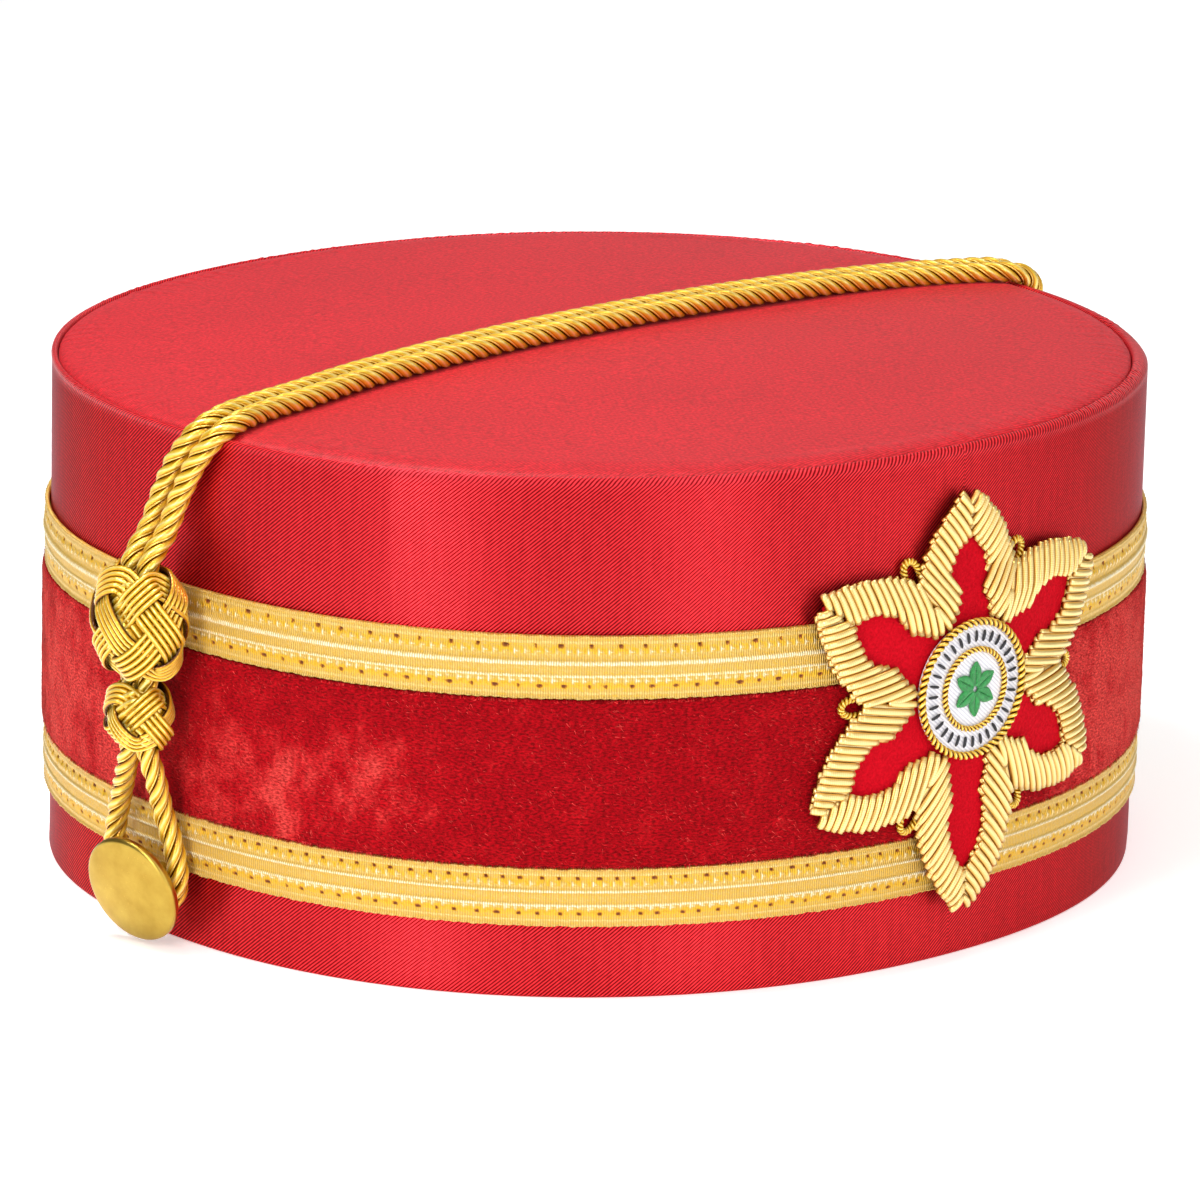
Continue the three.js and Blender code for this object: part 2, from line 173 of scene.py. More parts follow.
def waves_round(turn, fewest, most, seed):
    """Smooth unevenness round the cap, mostly within 1, of waves that each fit a whole number of times."""
    chance = np.random.default_rng(seed)
    counts = np.unique(np.linspace(fewest, most, 15).astype(int))[:, None]
    phases = chance.uniform(0, 2 * math.pi, counts.shape)
    strengths = chance.uniform(0.4, 1, counts.shape)
    total = (strengths * np.cos(counts * turn + phases)).sum(axis=0)
    return total / (1.6 * np.sqrt((strengths**2).sum() / 2))


def puffs_round(turn, stitches, seed):
    """Cloth puffing up between the stitches of a seam, uneven from stitch to stitch."""
    chance = np.random.default_rng(seed)
    swell = chance.uniform(0.2, 1, stitches)
    place = turn / (2 * math.pi) * stitches
    return swell[np.floor(place).astype(int) % stitches] * np.sin(math.pi * place) ** 2


def dye(red, green, blue):
    """A colour as the eye reads it, from 0 to 255, as the light values that a shader takes."""
    seen = np.array([red, green, blue]) / 255
    light = np.where(seen > 0.04045, ((seen + 0.055) / 1.055) ** 2.4, seen / 12.92)
    return (*light.tolist(), 1.0)


def new_finish(name, **values):
    """A material and its shader, with the shader's even values set by name."""
    finish = bpy.data.materials.new(name)
    finish.use_nodes = True
    shader = finish.node_tree.nodes["Principled BSDF"]
    for socket, value in values.items():
        shader.inputs[socket.replace("_", " ")].default_value = value
    return finish, shader


def add_node(finish, kind, values=None, **settings):
    """One more node of a material, with its settings and the values of its sockets."""
    added = finish.node_tree.nodes.new("ShaderNode" + kind)
    for name, value in settings.items():
        setattr(added, name, value)
    for socket, value in (values or {}).items():
        added.inputs[socket].default_value = value
    return added


def wire(finish, start, end):
    finish.node_tree.links.new(start, end)


def colour_steps(finish, source, stops):
    """Colours by a value from 0 to 1, blended between the stops."""
    ramp = add_node(finish, "ValToRGB")
    steps = ramp.color_ramp.elements
    while len(steps) < len(stops):
        steps.new(0.5)
    for step, (place, colour) in zip(steps, stops):
        step.position = place
        step.color = colour
    wire(finish, source, ramp.inputs["Fac"])
    return ramp.outputs["Color"]


def stripes(finish, source, pitch, turned, waver):
    """Even stripes a pitch apart, turned from upright, with a slight waver."""
    turn = add_node(finish, "Mapping", {"Rotation": (0, 0, turned)})
    values = {"Scale": 1 / (pitch * WAVE_TURNS), "Distortion": waver, "Detail": 1.0, "Detail Scale": 0.3}
    bands = add_node(finish, "TexWave", values, bands_direction="X")
    wire(finish, source, turn.inputs["Vector"])
    wire(finish, turn.outputs["Vector"], bands.inputs["Vector"])
    return bands.outputs["Fac"]


def speckle(finish, source, size, stretch=(1, 1, 1), detail=2.0):
    """Soft spots of about a size, stretched along the axes."""
    scale = [1 / (size * share) for share in stretch]
    shrink = add_node(finish, "Mapping", {"Scale": scale})
    spots = add_node(finish, "TexNoise", {"Scale": 1.0, "Detail": detail, "Roughness": 0.55})
    wire(finish, source, shrink.inputs["Vector"])
    wire(finish, shrink.outputs["Vector"], spots.inputs["Vector"])
    return spots.outputs["Fac"]


def blend_in(finish, share, first, second, kind="MIX"):
    """Two colours mixed by a share, which is a number or another node's value."""
    mixer = add_node(finish, "Mix", data_type="RGBA", blend_type=kind)
    sockets = {s.name: s for s in mixer.inputs if s.enabled}
    for socket, value in (("Factor", share), ("A", first), ("B", second)):
        if isinstance(value, bpy.types.NodeSocket):
            wire(finish, value, sockets[socket])
        else:
            sockets[socket].default_value = value
    return [s for s in mixer.outputs if s.enabled][0]


def own_place(finish):
    """The place of each point, in metres."""
    return add_node(finish, "TexCoord").outputs["Object"]


def cloth_place(finish):
    """The place of each point on the cloth or along the thread, in metres."""
    return add_node(finish, "UVMap", uv_map="cloth").outputs["UV"]


def colour_shader(finish, shader, colour, *shades):
    """Gives the shader a colour, multiplied by each of the shades."""
    for shade in shades:
        colour = blend_in(finish, 1.0, colour, shade, "MULTIPLY")
    wire(finish, colour, shader.inputs["Base Color"])


def raise_relief(finish, shader, source, deep, strength, before=None):
    """Fine relief of a depth, on top of any relief before it."""
    bump = add_node(finish, "Bump", {"Strength": strength, "Distance": deep})
    wire(finish, source, bump.inputs["Height"])
    if before:
        wire(finish, before, bump.inputs["Normal"])
    wire(finish, bump.outputs["Normal"], shader.inputs["Normal"])
    return bump.outputs["Normal"]


def roll_row(radius, angle):
    """A row of the rolled edge, as (out, height)."""
    return radius * math.cos(angle) - ROLL_RADIUS, WALL_TOP - ROLL_RADIUS + radius * math.sin(angle)


hem_rows = [(-HEM_TURN, 0), (-0.13 * MM, 0.2 * MM), (0, HEM_RISE)]
flat_rows = [(0, height) for height in np.linspace(3 * MM, WALL_TOP - ROLL_RADIUS, 14)]
roll_rows = [roll_row(ROLL_RADIUS, angle) for angle in np.linspace(0, ROLL_LIP, 15)[1:]]
lip_rows = [(out * MM, height * MM) for out, height in LIP_ROWS]
lining_rows = [(-WALL_THICK, height * MM) for height in (65, 40, 15, 0.6)] + [(HEM_TURN - WALL_THICK, 0)]
wall_rows = hem_rows + flat_rows + roll_rows + lip_rows + lining_rows
wall = carry_round("satin_wall", WALL_AROUND, wall_rows)
close_section()
lay_cloth(wall, WALL_AROUND, wall_rows)

# The gathers grow from the start of the roll to the seam, and the flat of the wall is a little uneven.
wall_turns = turns_round(WALL_AROUND)
wall_x, wall_y = oval_outwards(wall_turns)
gathered = GATHER_DEEP * puffs_round(wall_turns, SEAM_STITCHES, seed=3)
gathered += RIPPLE_DEEP * waves_round(wall_turns, 280, 470, seed=4)
gathered *= np.clip(0.6 + 0.6 * waves_round(wall_turns, 3, 17, seed=5), 0.12, 1.2)
uneven = WALL_UNEVEN * waves_round(wall_turns, 4, 15, seed=6)
from_crease = np.abs(np.angle(np.exp(1j * (wall_turns - CREASE_TURN))))
crease = CREASE_RISE * np.clip(1 - from_crease / CREASE_REACH, 0, 1) ** 2
wall_points = points_of(wall).reshape(-1, WALL_AROUND, 3)
first_roll = len(hem_rows + flat_rows)
for row in range(len(hem_rows), first_roll + len(roll_rows + lip_rows)):
    share = min(max((row - first_roll + 2) / (len(roll_rows) + 2), 0), 1)
    lean = ROLL_LIP * min(max((row - first_roll) / len(roll_rows), 0), 1)
    creased = min(max((wall_rows[row][1] - CREASE_FOOT) / (CREASE_FULL - CREASE_FOOT), 0), 1)
    push = gathered * share + (uneven + crease * creased) * (1 - share)
    wall_points[row, :, 0] += push * wall_x * math.cos(lean) - SEAM_ASIDE * lean / ROLL_LIP
    wall_points[row, :, 1] += push * wall_y * math.cos(lean)
    wall_points[row, :, 2] += push * math.sin(lean)
place_points(wall, wall_points)

satin, satin_shader = new_finish("red twill satin", Roughness=0.42, Specular_IOR_Level=0.9,
                                 Specular_Tint=dye(165, 90, 110), Anisotropic=0.85,
                                 Anisotropic_Rotation=0.25, Coat_Weight=0.04, Coat_Roughness=0.35)
satin_cloth = cloth_place(satin)
twill = stripes(satin, satin_cloth, TWILL_PITCH, math.pi / 2 - TWILL_SLOPE, 0.5)
twill_red = colour_steps(satin, twill, [(0.25, dye(122, 0, 0)), (0.78, dye(246, 56, 64))])
satin_slubs = speckle(satin, satin_cloth, 1.1 * MM, (1.6, 0.5, 1))
slub_shade = colour_steps(satin, satin_slubs, [(0.3, (0.86, 0.86, 0.86, 1)), (0.7, (1.1, 1.1, 1.1, 1))])
satin_streaks = speckle(satin, satin_cloth, 2.4 * MM, (0.4, 5, 1))
streak_shade = colour_steps(satin, satin_streaks, [(0.3, (0.9, 0.9, 0.9, 1)), (0.7, (1.08, 1.08, 1.08, 1))])
colour_shader(satin, satin_shader, twill_red, slub_shade, streak_shade)
satin_height = add_node(satin, "SeparateXYZ")
wire(satin, own_place(satin), satin_height.inputs["Vector"])
shine_range = {"From Min": 89.5 * MM, "From Max": 91.7 * MM, "To Min": 0.8, "To Max": 0.25}
satin_shine = add_node(satin, "MapRange", shine_range)
wire(satin, satin_height.outputs["Z"], satin_shine.inputs["Value"])
wire(satin, satin_shine.outputs["Result"], satin_shader.inputs["Metallic"])
raise_relief(satin, satin_shader, twill, 0.12 * MM, 0.14)
satin_way = add_node(satin, "Tangent", direction_type="UV_MAP", uv_map="cloth")
wire(satin, satin_way.outputs["Tangent"], satin_shader.inputs["Tangent"])
wall.data.materials.append(satin)
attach(wall, "root")
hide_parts("crown_side")

# Top panel: a finer, slightly matt red satin over a stiff oval board that is a little domed.
# Its edge is stitched into the lip of the wall, so it dips into the seam in short puckers.
TOP_AROUND = 600
TOP_SHOULDER = 6.5 * MM
TOP_SHOULDER_RISE = 92.75 * MM
TOP_DOME = 1.7 * MM
TOP_THICK = 1.4 * MM
TOP_PUCKERS = 160
PUCKER_DEEP = 0.28 * MM
TOP_UNEVEN = 0.12 * MM
TOP_EDGE = [(-3.2, 89.5), (-2.3, 90.3), (-2.05, 90.9), (-2.15, 91.45), (-2.6, 91.92), (-3.5, 92.3),
            (-4.9, 92.58)]  # out and height, in millimetres
DOME_SHARES = [1, 0.985, 0.965, 0.94, 0.91, 0.87, 0.82, 0.76, 0.69, 0.61, 0.52, 0.43, 0.34, 0.25, 0.16,
               0.08, 0.03]


def draw_in(rows, middle=(0, 0, 0)):
    """Draws the edge at hand in by rows of (share, height), and closes it in the middle."""
    bpy.ops.object.mode_set(mode="EDIT")
    for (share, height), (next_share, next_height) in zip(rows, rows[1:]):
        bpy.ops.mesh.extrude_region_move(TRANSFORM_OT_translate={"value": (0, 0, next_height - height)})
        shrink = next_share / share
        bpy.ops.transform.resize(value=(shrink, shrink, 1), center_override=middle)
    bpy.ops.mesh.extrude_region_move(TRANSFORM_OT_translate={"value": (0, 0, 0)})
    bpy.ops.mesh.merge(type="CENTER")
    bpy.ops.object.mode_set(mode="OBJECT")


edge_rows = [(out * MM, height * MM) for out, height in TOP_EDGE] + [(-TOP_SHOULDER, TOP_SHOULDER_RISE)]
top = carry_round("satin_top", TOP_AROUND, edge_rows)
draw_in([(share, -TOP_DOME * share**2) for share in DOME_SHARES], (0, OVAL_MIDDLE, 0))
face_outwards()

top_turns = turns_round(TOP_AROUND)
puckers = PUCKER_DEEP * (puffs_round(top_turns, TOP_PUCKERS, seed=12) - 0.5)
puckers *= np.clip(0.55 + 0.6 * waves_round(top_turns, 2, 13, seed=13), 0.08, 1.1)
pucker_shares = [0.2, 0.6, 1, 1, 1, 0.95, 0.85, 0.7, 0.5, 0.3, 0.15, 0.05]  # by row, from the seam inwards
top_points = points_of(top) - (SEAM_ASIDE, 0, 0)
for row, share in enumerate(pucker_shares):
    top_points[row * TOP_AROUND:(row + 1) * TOP_AROUND, 2] += puckers * share
sag_x = np.cos(top_points[:, 0] / (17 * MM) + 0.8) * np.cos(top_points[:, 1] / (23 * MM))
sag_y = np.cos(top_points[:, 0] / (31 * MM)) * np.cos(top_points[:, 1] / (14 * MM) + 1.9)
first_dome = len(edge_rows) * TOP_AROUND
top_points[first_dome:, 2] += (TOP_UNEVEN * (sag_x + sag_y))[first_dome:]
place_points(top, top_points)
bpy.ops.object.modifier_add(type="SOLIDIFY")
top.modifiers[-1].thickness = TOP_THICK
top.modifiers[-1].offset = -1
bpy.ops.object.modifier_apply(modifier=top.modifiers[-1].name)
bpy.ops.object.shade_smooth()

top_satin, top_shader = new_finish("red top satin", Roughness=0.55, Specular_IOR_Level=0.35,
                                   Sheen_Weight=0.08, Sheen_Roughness=0.4, Sheen_Tint=dye(255, 200, 205))
top_place = own_place(top_satin)
top_grain = speckle(top_satin, top_place, 0.6 * MM, (1.2, 0.9, 1), detail=3.0)
top_red = colour_steps(top_satin, top_grain, [(0.3, dye(150, 0, 8)), (0.7, dye(216, 24, 40))])
top_cloud = speckle(top_satin, top_place, 26 * MM, detail=3.0)
top_shade = colour_steps(top_satin, top_cloud, [(0.3, (0.96, 0.96, 0.96, 1)), (0.7, (1.04, 1.04, 1.04, 1))])
top_twill = stripes(top_satin, top_place, TWILL_PITCH, math.radians(86), 0.5)
twill_shade = colour_steps(top_satin, top_twill, [(0.1, (0.72, 0.6, 0.6, 1)), (0.8, (1.08, 1.08, 1.08, 1))])
colour_shader(top_satin, top_shader, top_red, top_shade, twill_shade)
top_relief = raise_relief(top_satin, top_shader, top_twill, 0.1 * MM, 0.35)
raise_relief(top_satin, top_shader, top_grain, 0.12 * MM, 0.3, top_relief)
top.data.materials.append(top_satin)
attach(top, "root")
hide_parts("crown_top")

# Velvet band: a strip of deep red cut-pile velvet stretched round the wall between the two laces.
# Its pile is brushed into lighter and darker patches, and short fibres lap over the laces' edges.
# The far left and right are painted lighter as sheen, where the velvet is seen at a slant.
VELVET_AROUND = 900
VELVET_LOW = 23.7 * MM
VELVET_HIGH = 53.3 * MM
VELVET_EDGE = [(0.3, 0.0), (0.75, -0.05), (1.1, 0.25), (1.32, 0.9), (1.42, 2.0)]  # out and rise, in mm
VELVET_EDGE_WIDE = 3 * MM
VELVET_FLAT_ROWS = 13
VELVET_OUT = 1.45 * MM
PILE_UNEVEN = 0.05 * MM
BRUSH_STROKES = 170
BRUSH_FRONT = 0.12
PLAIN_FROM = math.radians(-60)
PLAIN_TO = math.radians(10)
FIBRES_ROUND = 4500
NAP_FIBRES = 50000
FIBRE_LONG = 0.9 * MM
FIBRE_WIDE = 0.17 * MM
FIBRE_EDGE_IN = 0.35 * MM
FIBRE_EDGE_OUT = 1.2 * MM
FIBRE_NAP_IN = 1 * MM
FIBRE_NAP_OUT = 1.42 * MM
velvet_low_rows = [(out * MM, VELVET_LOW + rise * MM) for out, rise in VELVET_EDGE]
velvet_high_rows = [(out * MM, VELVET_HIGH - rise * MM) for out, rise in reversed(VELVET_EDGE)]
velvet_heights = np.linspace(VELVET_LOW + VELVET_EDGE_WIDE, VELVET_HIGH - VELVET_EDGE_WIDE, VELVET_FLAT_ROWS)
velvet_flat_rows = [(VELVET_OUT, height) for height in velvet_heights]
velvet_rows = velvet_low_rows + velvet_flat_rows + velvet_high_rows
velvet_band = carry_round("velvet_pile_band", VELVET_AROUND, velvet_rows)
close_section()
lay_cloth(velvet_band, VELVET_AROUND, velvet_rows)
velvet_points = points_of(velvet_band).reshape(-1, VELVET_AROUND, 3)
velvet_x, velvet_y = oval_outwards(turns_round(VELVET_AROUND))
chance = np.random.default_rng(21)
pile = chance.normal(0, PILE_UNEVEN, velvet_points.shape[:2])
pile = (pile + np.roll(pile, 1, axis=1) + np.roll(pile, -1, axis=1)) / 1.7
velvet_points[1:-1, :, 0] += (pile * velvet_x)[1:-1]
velvet_points[1:-1, :, 1] += (pile * velvet_y)[1:-1]
velvet_points[1:-1, :, 2] += 0.6 * np.roll(pile, 7, axis=1)[1:-1]
place_points(velvet_band, velvet_points)

# Strokes of the hand have laid the pile one way or the other, least across the front. The fixed strokes
# of the first list, at the far left and right, are painted sheen where the velvet is seen at a slant.
# Each has its turn round the cap, its rise as a share of the band, half its width and height, and its
# strength.
strokes_and_sheen = [(turn, rise, 0.16, 0.6, 0.5) for turn in (-1.95, -1.7, 0.42, 0.62) for rise in (0.2, 0.8)]
strokes_and_sheen += [(-1.42, 0.42, 0.09, 0.4, 0.45), (-1.27, 0.38, 0.1, 0.4, 0.5), (-1.12, 0.42, 0.1, 0.32, 0.4)]
for _ in range(BRUSH_STROKES):
    at = chance.uniform(-math.pi, math.pi)
    strength = chance.uniform(-0.3, 0.4) * (BRUSH_FRONT if PLAIN_FROM < at < PLAIN_TO else 1)
    rise = chance.uniform(-0.1, 0.9)
    half_wide = chance.uniform(0.02, 0.06)
    strokes_and_sheen.append((at, rise, half_wide, chance.uniform(0.1, 0.3), strength))


def keep_values(piece, name, values):
    """A value for each point of a piece, which its material reads by name."""
    piece.data.attributes.new(name, "FLOAT", "POINT").data.foreach_set("value", np.ravel(values))


def pile_light_and_sheen_at(turn, rise):
    """How light the pile looks from brushing and painted sheen, from 0 to 1, at a turn round the cap and a
    share of the band's height.
    """
    light = 0
    for at, stroke_rise, half_wide, half_tall, strength in strokes_and_sheen:
        apart = np.angle(np.exp(1j * (turn - at)))
        above = rise - stroke_rise
        light = light + strength * np.exp(-(apart / half_wide) ** 2 - (above / half_tall) ** 2)
    return np.clip(light, 0, 1)


velvet_rises = (np.array([height for _, height in velvet_rows]) - VELVET_LOW) / (VELVET_HIGH - VELVET_LOW)
# Lightness of the brushed pile, with painted sheen at the far left and right.
pile_light_and_sheen = pile_light_and_sheen_at(turns_round(VELVET_AROUND), velvet_rises[:, None])
keep_values(velvet_band, "brushed_and_sheen", pile_light_and_sheen)

velvet, velvet_shader = new_finish("red cut-pile velvet", Roughness=0.9, Specular_IOR_Level=0.1,
                                   Sheen_Weight=0.45, Sheen_Roughness=0.2, Sheen_Tint=dye(255, 120, 100))
velvet_cloth = cloth_place(velvet)
brushed_and_sheen = add_node(velvet, "Attribute", attribute_name="brushed_and_sheen").outputs["Fac"]
ruffled = speckle(velvet, velvet_cloth, 5.5 * MM, (0.9, 1.1, 1), detail=7.0)
ruffled_range = {"From Min": 0.3, "From Max": 0.7, "To Min": -0.42, "To Max": 0.42}
ruffled_share = add_node(velvet, "MapRange", ruffled_range)
wire(velvet, ruffled, ruffled_share.inputs["Value"])
laid_and_sheen = add_node(velvet, "Math", operation="ADD")
wire(velvet, brushed_and_sheen, laid_and_sheen.inputs[0])
wire(velvet, ruffled_share.outputs["Result"], laid_and_sheen.inputs[1])
# Deep red to light red, by the brushed pile and the painted sheen.
brushed_red_and_sheen = colour_steps(velvet, laid_and_sheen.outputs["Value"], [
    (0.0, dye(152, 0, 12)), (0.3, dye(166, 6, 17)), (0.6, dye(188, 34, 36)), (0.95, dye(206, 60, 56))])
nap = speckle(velvet, velvet_cloth, 0.42 * MM, (1.7, 0.8, 1), detail=3.0)
nap_shade = colour_steps(velvet, nap, [(0.36, (0.42, 0.3, 0.3, 1)), (0.64, (1.3, 1.36, 1.36, 1))])
colour_shader(velvet, velvet_shader, brushed_red_and_sheen, nap_shade)
velvet_relief = raise_relief(velvet, velvet_shader, nap, 0.3 * MM, 0.7)
raise_relief(velvet, velvet_shader, ruffled, 0.8 * MM, 0.4, velvet_relief)
velvet_band.data.materials.append(velvet)
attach(velvet_band, "root")
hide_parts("velvet_band")


def piece_from_arrays(name, points, faces, cloth=None):
    """A piece of many small like shapes in one mesh, with an optional UV place for each point."""
    mesh = bpy.data.meshes.new(name)
    mesh.from_pydata(points, [], faces)
    if cloth is not None:
        corners = np.empty(len(mesh.loops), dtype=int)
        mesh.loops.foreach_get("vertex_index", corners)
        mesh.uv_layers.new(name="cloth").data.foreach_set("uv", np.asarray(cloth)[corners].ravel())
    mesh.shade_smooth()
    piece = bpy.data.objects.new(name, mesh)
    bpy.context.collection.objects.link(piece)
    return piece


# Edge fibres stand up and down over the laces. Nap fibres lie on the band, tips to the right and down.
edge_count = 2 * FIBRES_ROUND
fibre_count = edge_count + NAP_FIBRES
fibre_turns = chance.uniform(0, 2 * math.pi, fibre_count)
edge_up = np.repeat([1, -1], FIBRES_ROUND)
edge_root = np.where(edge_up > 0, VELVET_HIGH - FIBRE_EDGE_IN, VELVET_LOW + FIBRE_EDGE_IN)
nap_root = chance.uniform(VELVET_LOW + FIBRE_NAP_IN, VELVET_HIGH - FIBRE_NAP_IN, NAP_FIBRES)
fibre_root = np.append(edge_root, nap_root)
fibre_long = FIBRE_LONG * chance.uniform(0.5, 1.2, fibre_count)
edge_lie = np.where(edge_up > 0, math.pi / 2, -math.pi / 2) + chance.normal(0, 0.6, edge_count)
fibre_lie = np.append(edge_lie, chance.normal(-0.5, 0.45, NAP_FIBRES))
edge_raise = chance.uniform(0.05, 0.45, edge_count)
fibre_raise = np.append(edge_raise, chance.uniform(0.02, 0.28, NAP_FIBRES)) * fibre_long
fibre_out = np.repeat([FIBRE_EDGE_OUT, FIBRE_NAP_OUT], [edge_count, NAP_FIBRES])
root_x, root_y = oval(fibre_turns, fibre_out)
away_x, away_y = oval_outwards(fibre_turns)
away = np.stack([away_x, away_y, 0 * away_x], 1)
right = np.stack([-away_y, away_x, 0 * away_x], 1)
root = np.stack([root_x, root_y, fibre_root], 1)
ahead = np.cos(fibre_lie)[:, None] * right + np.sin(fibre_lie)[:, None] * (0, 0, 1)
aside = np.cos(fibre_lie)[:, None] * (0, 0, 1) - np.sin(fibre_lie)[:, None] * right
tip = root + fibre_long[:, None] * ahead + fibre_raise[:, None] * away
half_foot = FIBRE_WIDE / 2 * aside
fibre_points = np.stack([root - half_foot, tip, root + half_foot], 1).reshape(-1, 3)
velvet_turns = np.append(turns_round(VELVET_AROUND), 2 * math.pi)
fibre_along = np.interp(fibre_turns, velvet_turns, oval_lengths(VELVET_AROUND))
fibre_cloth = np.repeat(np.stack([fibre_along, fibre_root], 1), 3, axis=0)
fibres = piece_from_arrays("velvet_fibres", fibre_points.tolist(),
                           np.arange(3 * fibre_count).reshape(-1, 3).tolist(), fibre_cloth)
fibre_rise = (fibre_root - VELVET_LOW) / (VELVET_HIGH - VELVET_LOW)
# The fibres take the same brushed pile and painted sheen, with a random spread.
fibre_light_and_sheen = pile_light_and_sheen_at(fibre_turns, fibre_rise) + chance.normal(0.12, 0.42, fibre_count)
keep_values(fibres, "brushed_and_sheen", np.repeat(fibre_light_and_sheen, 3))
fibres.data.materials.append(velvet)
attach(fibres, "root")

# Gilt laces: two flat woven ribbons of pale gold metal thread, sewn round the wall along the velvet.
# Each has looped edges, fine lines, a row of T-shaped marks towards either edge, and two ribbed ridges
# painted white: partly pale thread, partly painted highlight. Yellow sewing stitches along both sides
# leave small holes, painted dark as shade, and the edge loops are painted lighter where they stand out.
LACE_MARKS = 350
LACE_AROUND = 5 * LACE_MARKS
LACE_BACK = 0.3 * MM
LACE_LOOPS = 400
LACE_EDGE = [0, 0.06, 0.2, 0.36]  # places in millimetres of the rows that round off an edge
LACE_FLAT_ROWS = 42
LACE_PROFILE = [  # distance from the edge and thickness, in millimetres
    (0, 0.3), (0.06, 0.6), (0.2, 0.74), (0.36, 0.66), (0.55, 0.52), (0.95, 0.5), (1.15, 0.66),
    (1.4, 0.54), (1.75, 0.5), (2.2, 0.6), (2.75, 0.66), (3.3, 0.58), (4.2, 0.6), (5.7, 0.66)]
LACE_SHINE = [  # distance from the edge in millimetres, and how pale the gilt is
    (0, 0.52), (0.3, 0.6), (0.55, 0.5), (0.95, 0.52), (1.15, 0.9), (1.4, 0.42), (1.75, 0.5),
    (2.2, 0.4), (2.5, 0.36), (3.0, 0.36), (3.3, 0.62), (3.6, 0.5), (4.4, 0.5), (5.7, 0.54)]
LACE_HOLE_ROWS = (2.3, 1.75)  # of the lower and the upper row of holes, from their edges in millimetres
LACE_HOLE = (0.3, 0.26)  # length and height, in millimetres
LACE_STITCH = (0.45, 0.5)
LACE_STITCH_OFF = 0.6  # from the row of holes, in millimetres
LACE_MARK_OFF = 1.0
LACE_MARK_TALL = 0.5
LACE_MARK_FLAT = 0.2
LACE_LOOP_DEEP = 0.05 * MM
LACE_EDGE_WAVE = 0.07 * MM
MARK_COLUMNS = np.array([1.0, 0.75, 0.5, 0.0, 0.0])  # whiteness along a mark's flat stroke
gilt_lace, lace_shader = new_finish("woven gilt lace", Metallic=0.42, Roughness=0.4, Specular_IOR_Level=0.6)
lace_cloth = cloth_place(gilt_lace)
lace_gilt = add_node(gilt_lace, "Attribute", attribute_name="gilt").outputs["Fac"]
# The darkest stops colour the holes: painted shade.
lace_gold = colour_steps(gilt_lace, lace_gilt, [
    (0.0, dye(110, 48, 10)), (0.16, dye(178, 106, 16)), (0.36, dye(236, 186, 32)), (0.52, dye(222, 182, 88)),
    (0.75, dye(240, 208, 126)), (1.0, dye(255, 247, 218))])
lace_ribs = stripes(gilt_lace, lace_cloth, 0.43 * MM, 0, 0.4)
rib_shade = colour_steps(gilt_lace, lace_ribs, [(0.1, (0.6, 0.5, 0.3, 1)), (0.8, (1.04, 1.04, 1.04, 1))])
lace_gold = blend_in(gilt_lace, lace_gilt, lace_gold, rib_shade, "MULTIPLY")
colour_shader(gilt_lace, lace_shader, lace_gold)
raise_relief(gilt_lace, lace_shader, lace_ribs, 0.12 * MM, 0.9)


